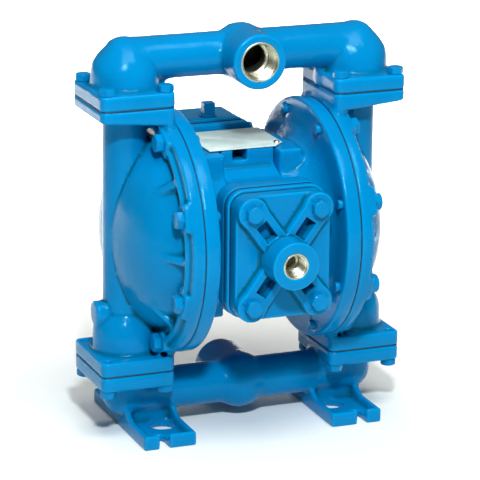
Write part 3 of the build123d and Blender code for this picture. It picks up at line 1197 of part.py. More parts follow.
right_diaphragm = diaphragm()
inner_plate = clamp_plate(INNER_PLATE_X, WEB_IN_X, INNER_PLATE_R, True)
outer_plate = clamp_plate(WEB_OUT_X, OUTER_PLATE_X, OUTER_PLATE_R, False)
for side, turn in (("right", lambda shape: shape), ("left", mirrored)):
    save(f"diaphragm_{side}", turn(right_diaphragm))
    save(f"inner_plate_{side}", turn(inner_plate))
    save(f"outer_plate_{side}", turn(outer_plate))
    save(f"plunger_{side}", turn(plunger()))
save("diaphragm_rod", diaphragm_rod())
for name, piece in (
    ("rod_nuts", rod_nut()),
    ("rod_washers", rod_washer()),
    ("rod_bushings", rod_bushing()),
    ("rod_seals", rod_seal()),
    ("diaphragm_bumpers", bumper()),
    ("plunger_bushings", plunger_bushing()),
    ("main_valve_end_caps", valve_end_cap()),
):
    save(name, piece, mirrored(piece))

save("pilot_sleeve", pilot_sleeve())
save("pilot_spool", pilot_spool())
save("main_valve_body", main_valve_body())
save("main_valve_gasket", valve_gasket())
save("main_valve_sleeve", valve_sleeve())
save("main_valve_spool", valve_spool())
save("square_plug", square_plug())
save("muffler", muffler())
save("nameplate", nameplate())
save("nameplate_screws", nameplate_screws())
save("chamber_bolts", chamber_bolts())
save("discharge_flange_bolts", discharge_bolts())
save("suction_flange_bolts", suction_bolts())
save("inlet_cap_bolts", cap_bolts())
save("inner_chamber_screws", neck_screws())
save("main_valve_screws", valve_screws())
save("end_cap_screws", end_cap_screws())

print(len(parts_written), "nodes written")
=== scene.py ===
import json
import math

import bmesh
import bpy
import numpy as np
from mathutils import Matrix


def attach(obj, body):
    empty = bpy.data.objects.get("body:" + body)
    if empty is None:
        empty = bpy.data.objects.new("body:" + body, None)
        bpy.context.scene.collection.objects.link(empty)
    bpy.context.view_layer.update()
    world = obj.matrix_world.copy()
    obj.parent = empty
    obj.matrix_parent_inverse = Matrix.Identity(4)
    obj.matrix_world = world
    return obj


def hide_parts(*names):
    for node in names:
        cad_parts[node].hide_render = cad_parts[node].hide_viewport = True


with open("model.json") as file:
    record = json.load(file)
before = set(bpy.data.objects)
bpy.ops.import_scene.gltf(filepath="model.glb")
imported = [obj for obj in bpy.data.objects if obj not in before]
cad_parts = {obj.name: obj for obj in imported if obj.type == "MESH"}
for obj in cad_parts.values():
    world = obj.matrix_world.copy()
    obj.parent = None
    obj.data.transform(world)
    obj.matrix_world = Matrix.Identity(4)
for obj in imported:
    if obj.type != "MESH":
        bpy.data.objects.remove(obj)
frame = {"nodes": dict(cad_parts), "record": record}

import openvdb as vdb
from mathutils import Matrix, Vector

# Looks of an air operated double diaphragm pump. Shapes are in millimetres up to the point
# where a mesh is made, and in metres from there on, as the frame is. The stage, the lamps,
# the bumps and the textures are in metres throughout.
MM = 0.001
CASING = "pump_casing"
NODES = frame["nodes"]
SLOT_OF = {part["node"]: part["material_slot"] for part in frame["record"]["subparts"]}
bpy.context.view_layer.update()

# ------------------------------------------------------------------ sizes shared with the CAD
ROD_Z = 173.0
COLUMN_X = 104.4
FLANGE_TOP_Z = 288.5
FLANGE_LOW_Z = 58.6
FLANGE_LENGTH = 65.5
FLANGE_WIDTH = 78.4
FLANGE_CORNER = 6.0
DISCHARGE_Z = 323.5
DISCHARGE_HUB_Z = 322.75
SUCTION_Z = 31.0
HUB_REACH = 45.0
PORT_DEPTH = 22.0
PIPE_BORE_R = 13.0
INLET_Y = 128.6
INLET_Z = 169.0
INLET_BOSS_R = 20.0
CAP_Z = 170.4
CAP_ARM_Y = 106.4
CAP_BOLT_X = 29.2
CAP_BOLT_Z = 40.2
CAP_BOLT_R = 4.0
POCKET_IN = 20.6          # pockets in the inlet cap's arms, outwards from its middle
POCKET_OUT = 37.2
POCKET_HALF = 5.0
POCKET_DEPTH = 10.5
PARTING_X = 69.6
COLUMN_R = 18.5
RIM_R = 104.75
DECK_FRONT_Y = 19.0
PLATE_Z = 243.0
WINDOW_LEFT_X = 13.6      # window in the deck's front wall, under the nameplate
WINDOW_RIGHT_X = 0.6
WINDOW_DROP = 0.8
WINDOW_HEIGHT = 9.0

# ------------------------------------------------------------------ sizes of the finish
PORT_R = 15.7             # threads' roots
INLET_R = 9.9
THREAD_DEPTH = 1.5
ROOM = 0.25               # the casting's bore over the thread's root
MOUTH_RING = 3.4          # flat ring that fills the plain bore's chamfer
LIP = 1.1                 # painted step at a port's mouth
LIP_DEPTH = 0.7
ARM_HALF = 11.3           # inlet cap's arms at their face
ARM_START = 10.0
ARM_DEPTH = 8.0
ARM_DRAFT = 0.22
DOME_TIP = 50.2           # dome's tip out from the parting, as cast
DOME_SPREAD = 87.5        # half height of the ellipse of its tip
TIP_LOW_Z = 115.0         # heights between which the dome's tip meets the bare column
TIP_TOP_Z = 250.0
SEAM_INSET = 0.45         # joint lines back from the castings' edges
RIM_SEAM_INSET = 0.7
SEAM_HALF = 0.3
SEAM_DEPTH = 5.0

# ------------------------------------------------------------------ cast shapes
BAND = 8.0                # width of the distance fields' band, in grid steps


class Field:
    """Signed distance to a shape's surface, in millimetres, on a regular grid."""

    def __init__(self, values, low, voxel):
        self.values = values
        self.low = np.array(low)
        self.voxel = voxel
        axes = [voxel * (self.low[i] + np.arange(values.shape[i])) for i in range(3)]
        self.x = axes[0][:, None, None].astype(np.float32)
        self.y = axes[1][None, :, None].astype(np.float32)
        self.z = axes[2][None, None, :].astype(np.float32)

    def grid(self):
        reach = BAND * self.voxel
        made = vdb.FloatGrid(reach)
        made.transform = vdb.createLinearTransform(self.voxel)
        made.gridClass = vdb.GridClass.LEVEL_SET
        inside = np.clip(self.values, -reach, reach)
        made.copyFromArray(inside, ijk=tuple(int(i) for i in self.low))
        return made

    def add(self, shape, blend=0.0):
        """Union, with a rounded inner corner of about the blend's size."""
        self.values = join(self.values, shape, blend)

    def cut(self, shape, blend=0.0):
        self.values = -join(-self.values, shape, blend)


def join(a, b, blend):
    if blend <= 0:
        return np.minimum(a, b)
    h = np.clip(blend - np.abs(a - b), 0, None) / blend
    return np.minimum(a, b) - h * h * blend / 4


def level_set(voxel, points, triangles, quads=None):
    return vdb.FloatGrid.createLevelSetFromPolygons(
        points, triangles=triangles, quads=quads,
        transform=vdb.createLinearTransform(voxel), halfWidth=BAND,
    )


def node_polygons(name):
    """Vertices in millimetres and triangles of a CAD node."""
    mesh = NODES[name].data
    mesh.calc_loop_triangles()
    points = np.empty(len(mesh.vertices) * 3, np.float32)
    mesh.vertices.foreach_get("co", points)
    triangles = np.empty(len(mesh.loop_triangles) * 3, np.int32)
    mesh.loop_triangles.foreach_get("vertices", triangles)
    points = points.reshape(-1, 3) / MM
    return points.astype(np.float32), triangles.reshape(-1, 3).astype(np.uint32)


def to_field(grid, points, voxel, margin=6.0):
    """The grid's values round the points, as a Field."""
    low = np.floor((points.min(0) - margin) / voxel).astype(int)
    high = np.ceil((points.max(0) + margin) / voxel).astype(int)
    values = np.empty(tuple(high - low + 1), np.float32)
    grid.copyToArray(values, ijk=tuple(int(i) for i in low))
    return Field(values, low, voxel)


def moved_surface(grid, distance, voxel):
    """A fresh level set of the surface that lies that far outside the old one."""
    points, triangles, quads = grid.convertToPolygons(isovalue=distance)
    return level_set(voxel, points, triangles, quads), points


def blurred(values):
    """One pass of a 1-2-1 blur along each axis."""
    for axis in range(3):
        ahead = np.roll(values, -1, axis)
        behind = np.roll(values, 1, axis)
        values = (ahead + behind + 2 * values) / 4
    return values


def curvature(values, voxel):
    """Laplacian of the field: above 0 on outer edges, below 0 in inner corners."""
    total = -6 * values
    for axis in range(3):
        total = total + np.roll(values, 1, axis) + np.roll(values, -1, axis)
    return total / voxel ** 2


def sampled(field, values, points):
    """Values at the points, between grid steps."""
    at = points / field.voxel - field.low
    base = np.clip(np.floor(at).astype(int), 0, np.array(values.shape) - 2)
    part = at - base
    total = np.zeros(len(points), np.float32)
    for corner in range(8):
        step = np.array([corner & 1, corner >> 1 & 1, corner >> 2 & 1])
        weight = np.prod(np.where(step, part, 1 - part), axis=1)
        total += weight * values[tuple((base + step).T)]
    return total


def linked(name, data):
    """A scene object that holds a mesh, a light or a camera."""
    made = bpy.data.objects.new(name, data)
    bpy.context.scene.collection.objects.link(made)
    return made


def mesh_object(name, points, faces):
    """An object from points in millimetres, shaded smooth."""
    mesh = bpy.data.meshes.new(name)
    mesh.from_pydata([tuple(p) for p in np.asarray(points) * MM], [], faces)
    mesh.validate()
    mesh.polygons.foreach_set("use_smooth", np.ones(len(mesh.polygons), bool))
    return linked(name, mesh)


def field_object(name, field, detail=0.1):
    """The field's surface as an object, with how sharply it curves as an attribute."""
    bend = blurred(curvature(field.values, field.voxel))
    points, triangles, quads = field.grid().convertToPolygons(isovalue=0.0, adaptivity=detail)
    corners = np.concatenate([triangles.ravel(), quads.ravel()])[::-1].astype(np.int32)
    sizes = np.array([3] * len(triangles) + [4] * len(quads), np.int32)[::-1]
    starts = np.concatenate([[0], np.cumsum(sizes)[:-1]]).astype(np.int32)
    mesh = bpy.data.meshes.new(name)
    mesh.vertices.add(len(points))
    mesh.vertices.foreach_set("co", (points * MM).astype(np.float32).ravel())
    mesh.loops.add(len(corners))
    mesh.loops.foreach_set("vertex_index", corners)
    mesh.polygons.add(len(sizes))
    mesh.polygons.foreach_set("loop_start", starts)
    mesh.polygons.foreach_set("use_smooth", np.ones(len(sizes), bool))
    mesh.update(calc_edges=True)
    mesh.validate()
    bends = mesh.attributes.new("bend", "FLOAT", "POINT")
    bends.data.foreach_set("value", sampled(field, bend, points))
    return linked(name, mesh)


def casting(node, voxel=0.9, fillet=2.6, edge=0.8, finish=None):
    """A cast copy of a CAD node: inner corners filleted, outer edges rounded.

    finish cuts or adds crisp shapes after that."""
    points, triangles = node_polygons(node)
    grid, points = moved_surface(level_set(voxel, points, triangles), fillet, voxel)
    grid, points = moved_surface(grid, -fillet - edge, voxel)
    field = to_field(grid, points, voxel)
    field.values = blurred(field.values - edge)
    if finish:
        finish(field)
    return dressed(field_object(f"cast_{node}", field), node)


def dressed(piece, node):
    """The piece stands for a CAD node and looks like its material slot."""
    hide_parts(node)
    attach(piece, CASING)
    paint(piece, SLOT_MATERIALS[SLOT_OF[node]])
    return piece


# ------------------------------------------------------------------ distance shapes
def rod(field, start, end, radius):
    """Round bar along X, Y or Z."""
    axis = [i for i in range(3) if start[i] != end[i]][0]
    grids = (field.x, field.y, field.z)
    others = [i for i in range(3) if i != axis]
    across = np.sqrt(sum((grids[i] - start[i]) ** 2 for i in others)) - radius
    middle = (start[axis] + end[axis]) / 2
    along = np.abs(grids[axis] - middle) - abs(end[axis] - start[axis]) / 2
    return np.maximum(across, along)


def block(field, low, high, round_r=0.0):
    """Box between two corners, with rounded edges."""
    outside = 0.0
    inside = None
    for g, a, b in zip((field.x, field.y, field.z), low, high):
        d = np.abs(g - (a + b) / 2) - (abs(b - a) / 2 - round_r)
        outside = outside + np.clip(d, 0, None) ** 2
        inside = d if inside is None else np.maximum(inside, d)
    return np.sqrt(outside) + np.minimum(inside, 0) - round_r


# ------------------------------------------------------------------ materials
def tree_of(name):
    material = bpy.data.materials.new(name)
    material.use_nodes = True
    nodes = material.node_tree.nodes
    return material, nodes, material.node_tree.links, nodes["Principled BSDF"]


def noise(nodes, links, coords, scale, detail=4.0, rough=0.55):
    made = nodes.new("ShaderNodeTexNoise")
    made.inputs["Scale"].default_value = scale
    made.inputs["Detail"].default_value = detail
    made.inputs["Roughness"].default_value = rough
    links.new(coords, made.inputs["Vector"])
    return made.outputs["Fac"]


def ramp(nodes, links, value, stops):
    made = nodes.new("ShaderNodeValToRGB")
    elements = made.color_ramp.elements
    while len(elements) < len(stops):
        elements.new(0.5)
    for element, (place, colour) in zip(elements, stops):
        element.position = place
        element.color = colour if len(colour) == 4 else (*colour, 1.0)
    links.new(value, made.inputs["Fac"])
    return made.outputs["Color"]


def spread(nodes, links, value, low, high, to_low=0.0, to_high=1.0):
    made = nodes.new("ShaderNodeMapRange")
    made.inputs["From Min"].default_value = low
    made.inputs["From Max"].default_value = high
    made.inputs["To Min"].default_value = to_low
    made.inputs["To Max"].default_value = to_high
    links.new(value, made.inputs["Value"])
    return made.outputs["Result"]


def mix(nodes, links, share, a, b):
    made = nodes.new("ShaderNodeMix")
    made.data_type = "RGBA"
    links.new(share, made.inputs["Factor"])
    for value, socket in ((a, made.inputs["A"]), (b, made.inputs["B"])):
        if isinstance(value, tuple):
            socket.default_value = (*value, 1.0)
        else:
            links.new(value, socket)
    return made.outputs["Result"]


def bump(nodes, links, height, strength, distance, normal=None):
    made = nodes.new("ShaderNodeBump")
    made.inputs["Strength"].default_value = strength
    made.inputs["Distance"].default_value = distance
    links.new(height, made.inputs["Height"])
    if normal is not None:
        links.new(normal, made.inputs["Normal"])
    return made.outputs["Normal"]


ENAMEL = (0.0, 0.205, 0.475)
# painted shade: dark teal laid into inner corners and creases where shade falls
ENAMEL_PAINTED_SHADE = (0.0, 0.075, 0.125)
# lighter edges: partly paint worn thin, partly a painted highlight on rounded edges
ENAMEL_THIN_PAINT_AND_HIGHLIGHT = (0.0, 0.28, 0.62)


def enamel(name, painted_shade_and_wear=True, grain=1.0):
    """Glossy blue enamel over sand cast metal: painted shade in inner corners, and edges lighter
    from thin paint and a painted highlight.
    """
    material, nodes, links, shader = tree_of(name)
    coords = nodes.new("ShaderNodeTexCoord").outputs["Object"]
    cloud = noise(nodes, links, coords, 22.0, 5.0)
    colour = ramp(nodes, links, cloud, [
        (0.32, tuple(0.9 * c for c in ENAMEL)), (0.64, ENAMEL),
    ])
    # painted shade in inner corners, and lighter edges from thin paint and a painted highlight
    if painted_shade_and_wear:
        bend = nodes.new("ShaderNodeAttribute")
        bend.attribute_name = "bend"
        # painted shade: darker in inner corners and creases, read from the bend attribute
        crease_shade = spread(nodes, links, bend.outputs["Fac"], -0.05, -0.4, 0.0, 0.85)
        colour = mix(nodes, links, crease_shade, colour, ENAMEL_PAINTED_SHADE)
        # lighter on outer edges: partly thin paint, partly a painted highlight
        edge_wear_and_highlight = spread(nodes, links, bend.outputs["Fac"], 0.15, 0.8, 0.0, 0.75)
        colour = mix(nodes, links, edge_wear_and_highlight, colour, ENAMEL_THIN_PAINT_AND_HIGHLIGHT)
    links.new(colour, shader.inputs["Base Color"])
    patches = noise(nodes, links, coords, 60.0, 3.0)
    links.new(spread(nodes, links, patches, 0.3, 0.7, 0.1, 0.18), shader.inputs["Roughness"])
    shader.inputs["IOR"].default_value = 1.27
    shader.inputs["Specular Tint"].default_value = (0.4, 0.88, 1.0, 1.0)
    sand = noise(nodes, links, coords, 420.0, 3.0, 0.6)
    lumps = noise(nodes, links, coords, 110.0, 3.0, 0.5)
    normal = bump(nodes, links, sand, 0.3 * grain, 0.0006)
    normal = bump(nodes, links, lumps, 0.3 * grain, 0.0012, normal)
    links.new(normal, shader.inputs["Normal"])
    return material


def metal(name, colour, dark, roughness=0.32, scale=300.0, scratch=0.12):
    """Bare machined metal with tool marks and a little staining."""
    material, nodes, links, shader = tree_of(name)
    coords = nodes.new("ShaderNodeTexCoord").outputs["Object"]
    stain = noise(nodes, links, coords, 90.0, 5.0)
    links.new(ramp(nodes, links, stain, [(0.3, dark), (0.65, colour)]),
              shader.inputs["Base Color"])
    marks = noise(nodes, links, coords, scale, 4.0, 0.7)
    links.new(
        spread(nodes, links, marks, 0.3, 0.7, roughness - 0.08, roughness + 0.12),
        shader.inputs["Roughness"],
    )
    shader.inputs["Metallic"].default_value = 1.0
    links.new(bump(nodes, links, marks, scratch, 0.0002), shader.inputs["Normal"])
    return material


def plain(name, colour, roughness, scale=500.0, lift=0.1, mottled=0.85):
    """Rubber, plastic or dull lacquered plate with a fine grain."""
    material, nodes, links, shader = tree_of(name)
    coords = nodes.new("ShaderNodeTexCoord").outputs["Object"]
    cloud = noise(nodes, links, coords, 70.0, 4.0)
    darker = tuple(mottled * c for c in colour)
    links.new(ramp(nodes, links, cloud, [(0.35, darker), (0.65, colour)]),
              shader.inputs["Base Color"])
    grain = noise(nodes, links, coords, scale, 2.0)
    links.new(spread(nodes, links, grain, 0.3, 0.7, roughness - 0.06, roughness + 0.06),
              shader.inputs["Roughness"])
    links.new(bump(nodes, links, grain, lift, 0.0003), shader.inputs["Normal"])
    return material


# the castings' enamel carries painted shade in corners and a painted highlight on edges
CAST_BLUE = enamel("cast_blue_enamel")
BOLT_BLUE = enamel("bolt_blue_enamel", painted_shade_and_wear=False, grain=0.5)
# dark joint line: partly the packing between castings, partly painted shade of the groove
JOINT_AND_PAINTED_SHADE = plain("joint_line_and_painted_shade", (0.0, 0.025, 0.055), 0.5)
PORT_METAL = metal("bare_port_metal", (0.78, 0.77, 0.62), (0.50, 0.49, 0.36), 0.3)
RAW_CASTING = metal("raw_casting", (0.30, 0.31, 0.24), (0.16, 0.17, 0.13), 0.5, 200.0, 0.3)
STEEL = metal("bright_steel", (0.62, 0.62, 0.60), (0.45, 0.45, 0.44), 0.28)
BRONZE = metal("bearing_bronze", (0.62, 0.43, 0.2), (0.48, 0.32, 0.15), 0.3)
ALUMINIUM = metal("turned_aluminium", (0.72, 0.72, 0.73), (0.58, 0.58, 0.59), 0.33)
PLATE_METAL = plain("nameplate_metal", (0.84, 0.96, 0.88), 0.36, 160.0, 0.04)
RUBBER = plain("black_rubber", (0.022, 0.022, 0.023), 0.55)
# gaskets painted over in blue, coloured dark as painted shade of the groove at their joints
GASKET_PAINTED_SHADE = plain("gasket_in_painted_shade", (0.0, 0.05, 0.11), 0.45)
SPOOL = plain("spool_plastic", (0.78, 0.76, 0.70), 0.4)
MUFFLER = plain("muffler_plastic", (0.035, 0.035, 0.038), 0.5, 260.0, 0.25)

SLOT_MATERIALS = {
    "blue_enamel": CAST_BLUE,
    "blue_fasteners": BOLT_BLUE,
    "nameplate_metal": PLATE_METAL,
    "steel": STEEL,
    "bronze": BRONZE,
    "black_rubber": RUBBER,
    "gasket_rubber": GASKET_PAINTED_SHADE,
    "valve_aluminium": ALUMINIUM,
    "plate_aluminium": ALUMINIUM,
    "spool_plastic": SPOOL,
    "muffler_plastic": MUFFLER,
}


def paint(piece, material):
    piece.data.materials.clear()
    piece.data.materials.append(material)


def paint_cad_nodes():
    for part in frame["record"]["subparts"]:
        paint(NODES[part["node"]], SLOT_MATERIALS[part["material_slot"]])


# ------------------------------------------------------------------ castings
def port_room(facing, axis_z, mouth_y, radius):
    """Crisp mouth for a port's bare thread: facing -1 to the front, 1 to the rear."""
    def shape(field):
        def at(depth):
            return (0, facing * (mouth_y - depth), axis_z)

        field.add(rod(field, at(0), at(4), radius + MOUTH_RING))
        field.cut(rod(field, at(-4), at(PORT_DEPTH), radius + ROOM))
        field.cut(rod(field, at(-4), at(LIP_DEPTH), radius + LIP), 0.8)
    return shape


def arm_bar(field, bolt_x, bolt_z, start, end, half, depth, draft=0.0):
    """Bar sunk into the inlet cap's cross, from its middle towards a bolt, widening inwards."""
    length = math.hypot(bolt_x, bolt_z)
    ux, uz = bolt_x / length, bolt_z / length
    rise = field.z - CAP_Z
    along = field.x * ux + rise * uz
    across = np.abs(rise * ux - field.x * uz)
    sunk = field.y + CAP_ARM_Y
    beside = across - half - draft * sunk
    above = np.abs(sunk - depth / 2) - depth / 2
    beyond = np.abs(along - (start + end) / 2) - (end - start) / 2
    return np.maximum(np.maximum(beside, above), beyond)


def cap_cross(field):
    """Straight drafted arms between the cap's bolt lobes and its boss, with their pockets."""
    bolts = [(sx * CAP_BOLT_X, sz * CAP_BOLT_Z) for sx in (-1, 1) for sz in (-1, 1)]
    fillet, eased_by = 1.6, 0.3
    arm_end = math.hypot(CAP_BOLT_X, CAP_BOLT_Z)
    for x, z in bolts:
        arm = arm_bar(field, x, z, ARM_START, arm_end, ARM_HALF, ARM_DEPTH, ARM_DRAFT)
        field.add(arm, fillet)
    for x, z in bolts:
        pocket = arm_bar(field, x, z, POCKET_IN, POCKET_OUT, POCKET_HALF, POCKET_DEPTH)
        field.cut(pocket - eased_by, 2 * eased_by)
    boss_foot = (0, -CAP_ARM_Y + ARM_DEPTH, INLET_Z)
    field.add(rod(field, (0, -INLET_Y, INLET_Z), boss_foot, INLET_BOSS_R), fillet)
    for x, z in bolts:
        field.cut(rod(field, (x, -CAP_ARM_Y - 4, CAP_Z + z), (x, -CAP_ARM_Y + 12, CAP_Z + z),
                      CAP_BOLT_R))
    port_room(-1, INLET_Z, INLET_Y, INLET_R)(field)


def sharp_dome(side):
    """Dome's tip drawn back to a clear crease with the column in front of it."""
    def shape(field):
        out = side * field.x - PARTING_X
        off = np.sqrt(field.y ** 2 + (field.z - ROD_Z) ** 2)
        level = np.sqrt((out / DOME_TIP) ** 2 + (off / DOME_SPREAD) ** 2)
        slope = np.sqrt((out / DOME_TIP ** 2) ** 2 + (off / DOME_SPREAD ** 2) ** 2)
        tip = (level - 1) * level / np.maximum(slope, 1e-4)
        column = rod(field, (side * COLUMN_X, 0, FLANGE_LOW_Z), (side * COLUMN_X, 0, FLANGE_TOP_Z),
                     COLUMN_R)
        reach = block(field, (side * (COLUMN_X - 8), -60, TIP_LOW_Z),
                      (side * (COLUMN_X + 40), 60, TIP_TOP_Z))
        field.cut(np.maximum(np.maximum(-tip, reach), -column))
    return shape


def deck_window(field):
    """Crisp dark window in the deck's front wall, under the nameplate."""
    top = PLATE_Z - WINDOW_DROP
    field.cut(block(field, (-WINDOW_LEFT_X, -DECK_FRONT_Y - 4, top - WINDOW_HEIGHT),
                    (-WINDOW_RIGHT_X, -DECK_FRONT_Y + 24, top), 0.6))


def bare_inside(piece, facing, axis_z, mouth_y, bore_r, pipe_z=None):
    """Unpainted metal on the faces inside a port, and in the pipe behind it at pipe_z."""
    mesh = piece.data
    mesh.materials.append(RAW_CASTING)
    centres = np.empty(len(mesh.polygons) * 3, np.float32)
    mesh.polygons.foreach_get("center", centres)
    x, y, z = centres.reshape(-1, 3).T / MM
    inward = facing * y
    inside = (np.hypot(x, z - axis_z) < bore_r + 1) & (inward < mouth_y - 0.8) & (inward > 5)
    if pipe_z:
        inside |= (np.hypot(y, z - pipe_z) < PIPE_BORE_R + 1) & (np.abs(x) < COLUMN_X)
    mesh.polygons.foreach_set("material_index", inside.astype(np.int32))


def make_castings():
    casting("outer_chamber_right", fillet=1.7, finish=sharp_dome(1))
    casting("outer_chamber_left", fillet=1.7, finish=sharp_dome(-1))
    for node in ("inner_chamber_right", "inner_chamber_left"):
        casting(node, voxel=1.0, fillet=3.0)
    casting("centre_body", fillet=2.0, edge=0.6, finish=deck_window)
    casting("pilot_valve_body", voxel=0.6, fillet=0.6, edge=0.7)
    cap = casting("air_inlet_cap", voxel=0.55, fillet=1.0, edge=0.6, finish=cap_cross)
    top = casting("discharge_manifold",
                  finish=port_room(-1, DISCHARGE_HUB_Z, HUB_REACH, PORT_R))
    low = casting("suction_manifold", fillet=2.2,
                  finish=port_room(1, SUCTION_Z, HUB_REACH, PORT_R))
    casting("main_valve_body", fillet=2.0)
    casting("main_valve_end_caps", voxel=0.7, fillet=1.5, edge=0.6)
    bare_inside(top, -1, DISCHARGE_HUB_Z, HUB_REACH, PORT_R, DISCHARGE_Z)
    bare_inside(low, 1, SUCTION_Z, HUB_REACH, PORT_R, SUCTION_Z)
    bare_inside(cap, -1, INLET_Z, INLET_Y, INLET_R)


def thread_rows(root_r, pitch, turns, around):
    """Radius of each point round the bore, row by row, with the row's depths."""
    per_turn = 8
    start, relief, flat = 0.5, 0.1, 0.12
    height = THREAD_DEPTH - relief
    steps = int(turns * per_turn)
    rows = [([root_r + 1.5] * around, 6.0), ([root_r + 1.5] * around, 0.4),
            ([root_r + relief] * around, 0.15)]
    for step in range(steps + 1):
        depth = start + pitch * turns * step / steps
        fade = min(1.0, step / per_turn, (steps - step) / per_turn)
        radii = []
        for k in range(around):
            ridge = 1 - abs(2 * ((depth / pitch - k / around) % 1.0) - 1)
            ridge = min(1.0, max(0.0, (ridge - flat) / (1 - 2 * flat)))
            radii.append(root_r - relief - height * ridge * fade)
        rows.append((radii, depth))
    end = start + pitch * turns
    crest_r = root_r - THREAD_DEPTH
    for radius, depth in ((crest_r, end + 0.6), (crest_r - 2, end + 1), (crest_r - 2, end + 3)):
        rows.append(([radius] * around, depth))
    return rows


def pipe_thread(name, facing, axis_z, mouth_y, root_r, pitch, turns):
    """Bare threaded sleeve of a port, from behind its mouth to a shoulder at its back."""
    around = 96
    rows = thread_rows(root_r, pitch, turns, around)
    placed = []
    for radii, depth in rows:
        for k, radius in enumerate(radii):
            angle = 2 * math.pi * k / around
            placed.append((radius * math.cos(angle), facing * (mouth_y - depth),
                           axis_z + radius * math.sin(angle)))
    faces = []
    for row in range(len(rows) - 1):
        for k in range(around):
            a, b = row * around + k, row * around + (k + 1) % around
            quad = (a, b, b + around, a + around)
            faces.append(quad if facing < 0 else quad[::-1])
    piece = mesh_object(name, placed, faces)
    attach(piece, CASING)
    paint(piece, PORT_METAL)


# ------------------------------------------------------------------ small parts
def eased(node, width):
    """A CAD node's shape with its sharp edges bevelled."""
    source = NODES[node].data
    work = bmesh.new()
    work.from_mesh(source)
    bmesh.ops.remove_doubles(work, verts=work.verts, dist=0.00002)
    bmesh.ops.dissolve_limit(work, angle_limit=math.radians(1.0), verts=work.verts,
                             edges=work.edges)
    mesh = bpy.data.meshes.new(f"eased_{node}")
    work.to_mesh(mesh)
    work.free()
    piece = linked(f"eased_{node}", mesh)
    bevel = piece.modifiers.new("edges", "BEVEL")
    bevel.width = width * MM
    bevel.segments = 3
    bevel.limit_method = "ANGLE"
    bevel.angle_limit = math.radians(35)
    bevel.harden_normals = True
    mesh.polygons.foreach_set("use_smooth", np.ones(len(mesh.polygons), bool))
    return dressed(piece, node)


def make_small_parts():
    for node in ("chamber_bolts", "discharge_flange_bolts", "suction_flange_bolts",
                 "inlet_cap_bolts"):
        eased(node, 0.45)
    for node in ("main_valve_screws", "end_cap_screws"):
        eased(node, 0.25)
    eased("square_plug", 0.6)
    eased("nameplate", 0.2)
    eased("nameplate_screws", 0.2)


def make_threads():
    port_pitch, inlet_pitch = 2.21, 1.81      # one inch and half inch pipe threads
    pipe_thread("discharge_thread", -1, DISCHARGE_HUB_Z, HUB_REACH, PORT_R, port_pitch, 8.5)
    pipe_thread("suction_thread", 1, SUCTION_Z, HUB_REACH, PORT_R, port_pitch, 8.5)
    pipe_thread("inlet_thread", -1, INLET_Z, INLET_Y, INLET_R, inlet_pitch, 10)


def ring_outline(radius, count=160):
    return [(radius * math.cos(2 * math.pi * k / count), radius * math.sin(2 * math.pi * k / count))
            for k in range(count)]


def flange_outline(inset, corner, count=8):
    """Rounded rectangle that far inside a port flange's edge."""
    half_x, half_y = FLANGE_LENGTH / 2 - inset, FLANGE_WIDTH / 2 - inset
    outline = []
    for quarter, (sx, sy) in enumerate(((1, 1), (-1, 1), (-1, -1), (1, -1))):
        for k in range(count + 1):
            angle = math.pi / 2 * (quarter + k / count)
            outline.append((sx * (half_x - corner) + corner * math.cos(angle),
                            sy * (half_y - corner) + corner * math.sin(angle)))
    return outline


def seam(name, outline, inner, place):
    """Thin dark sheet where two castings meet: partly the packing clamped there, partly painted
    shade of the groove between them.
    """
    count = len(outline)
    points = []
    for ring, level in ((outline, -SEAM_HALF), (outline, SEAM_HALF),
                        (inner, SEAM_HALF), (inner, -SEAM_HALF)):
        points += [place(a, b, level) for a, b in ring]
    faces = []
    for row in range(4):
        for k in range(count):
            a, b = row * count + k, row * count + (k + 1) % count
            c, d = (row + 1) % 4 * count + (k + 1) % count, (row + 1) % 4 * count + k
            faces.append((a, b, c, d))
    piece = mesh_object(name, points, faces)
    work = bmesh.new()
    work.from_mesh(piece.data)
    bmesh.ops.recalc_face_normals(work, faces=work.faces)
    work.to_mesh(piece.data)
    work.free()
    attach(piece, CASING)
    paint(piece, JOINT_AND_PAINTED_SHADE)


def make_seams():
    rim = ring_outline(RIM_R - RIM_SEAM_INSET)
    rim_inner = ring_outline(RIM_R - SEAM_DEPTH)
    flange = flange_outline(SEAM_INSET, FLANGE_CORNER - SEAM_INSET)
    flange_inner = flange_outline(SEAM_DEPTH, 2)
    for side, label in ((1, "right"), (-1, "left")):
        seam(f"rim_seam_{label}", rim, rim_inner,
             lambda a, b, level: (side * PARTING_X + level, a, ROD_Z + b))
        for joint_z, end in ((FLANGE_TOP_Z, "top"), (FLANGE_LOW_Z, "low")):
            seam(f"flange_seam_{end}_{label}", flange, flange_inner,
                 lambda a, b, level: (side * COLUMN_X + a, b, joint_z + level))


# ------------------------------------------------------------------ stage, light and camera
def make_stage():
    floor = bpy.data.meshes.new("floor")
    half = 6.0
    floor.from_pydata(
        [(-half, -half, 0), (half, -half, 0), (half, half, 0), (-half, half, 0)], [], [(0, 1, 2, 3)]
    )
    piece = linked("floor", floor)
    material, nodes, links, shader = tree_of("pale_floor")
    shader.inputs["Base Color"].default_value = (0.94, 0.94, 0.92, 1)
    shader.inputs["Roughness"].default_value = 0.7
    shader.inputs["Specular IOR Level"].default_value = 0.2
    paint(piece, material)


def softbox(name, place, target, size, watts):
    light = bpy.data.lights.new(name, "AREA")
    light.shape = "RECTANGLE"
    light.size, light.size_y = size
    light.energy = watts
    lamp = linked(name, light)
    lamp.location = place
    lamp.rotation_euler = (Vector(target) - Vector(place)).to_track_quat("-Z", "Y").to_euler()
    return lamp


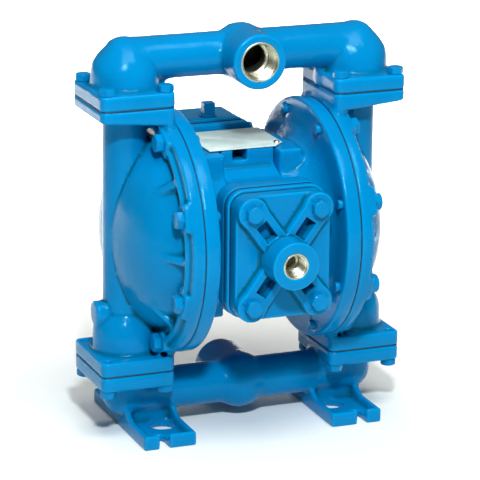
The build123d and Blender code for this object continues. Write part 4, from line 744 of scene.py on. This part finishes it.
def lamp_at(name, azimuth, elevation, distance, size, watts, colour):
    """Softbox aimed at the pump's middle; azimuth from the front towards the left."""
    a, e = math.radians(azimuth), math.radians(elevation)
    middle = Vector((0, 0, 0.17))
    place = middle + distance * Vector(
        (-math.sin(a) * math.cos(e), -math.cos(a) * math.cos(e), math.sin(e)))
    softbox(name, place, middle, size, watts).data.color = colour


def make_light():
    """Small hard key, a broad top light, and a wash that only whitens the floor behind."""
    world = bpy.data.worlds.new("studio")
    world.use_nodes = True
    back = world.node_tree.nodes["Background"]
    back.inputs["Color"].default_value = (1.0, 0.98, 0.78, 1)
    back.inputs["Strength"].default_value = 0.14
    bpy.context.scene.world = world
    lamp_at("key", 18, 40, 1.8, (0.14, 0.14), 26, (0.85, 0.95, 1.0))
    lamp_at("top", 0, 63, 1.7, (1.1, 0.7), 20, (0.95, 1.0, 1.0))
    wash = softbox("floor_wash", (-0.3, 2.4, 1.7), (-0.3, 2.41, 0), (4.6, 3.4), 160)
    wash.data.spread = math.radians(72)
    wash.visible_glossy = False


# camera at the photograph's viewing angle
CAM_AZIMUTH = 21.7553     # degrees, from the front towards the left side
CAM_ELEVATION = 16.0859
CAM_ROLL = 0.57993
CAM_DISTANCE = 2369.558
CAM_TARGET = (1.171, 0.0, 156.939)
CAM_LENS = 206.139
CAM_SENSOR = 36.0


def make_camera():
    a, e, roll = (math.radians(v) for v in (CAM_AZIMUTH, CAM_ELEVATION, CAM_ROLL))
    back = Vector((-math.sin(a) * math.cos(e), -math.cos(a) * math.cos(e), math.sin(e)))
    right = Vector((math.cos(a), -math.sin(a), 0))
    up = back.cross(right)
    turned_right = math.cos(roll) * right + math.sin(roll) * up
    turned_up = math.cos(roll) * up - math.sin(roll) * right
    data = bpy.data.cameras.new("camera")
    data.lens = CAM_LENS
    data.sensor_width = CAM_SENSOR
    data.clip_end = 50
    camera = linked("camera", data)
    place = (Vector(CAM_TARGET) + CAM_DISTANCE * back) * MM
    axes = Matrix((turned_right, turned_up, back)).transposed()
    camera.matrix_world = Matrix.Translation(place) @ axes.to_4x4()
    bpy.context.scene.camera = camera


paint_cad_nodes()
make_castings()
make_threads()
make_small_parts()
make_seams()
make_stage()
make_light()
make_camera()
bpy.context.scene.view_settings.view_transform = "Standard"

bpy.context.view_layer.update()
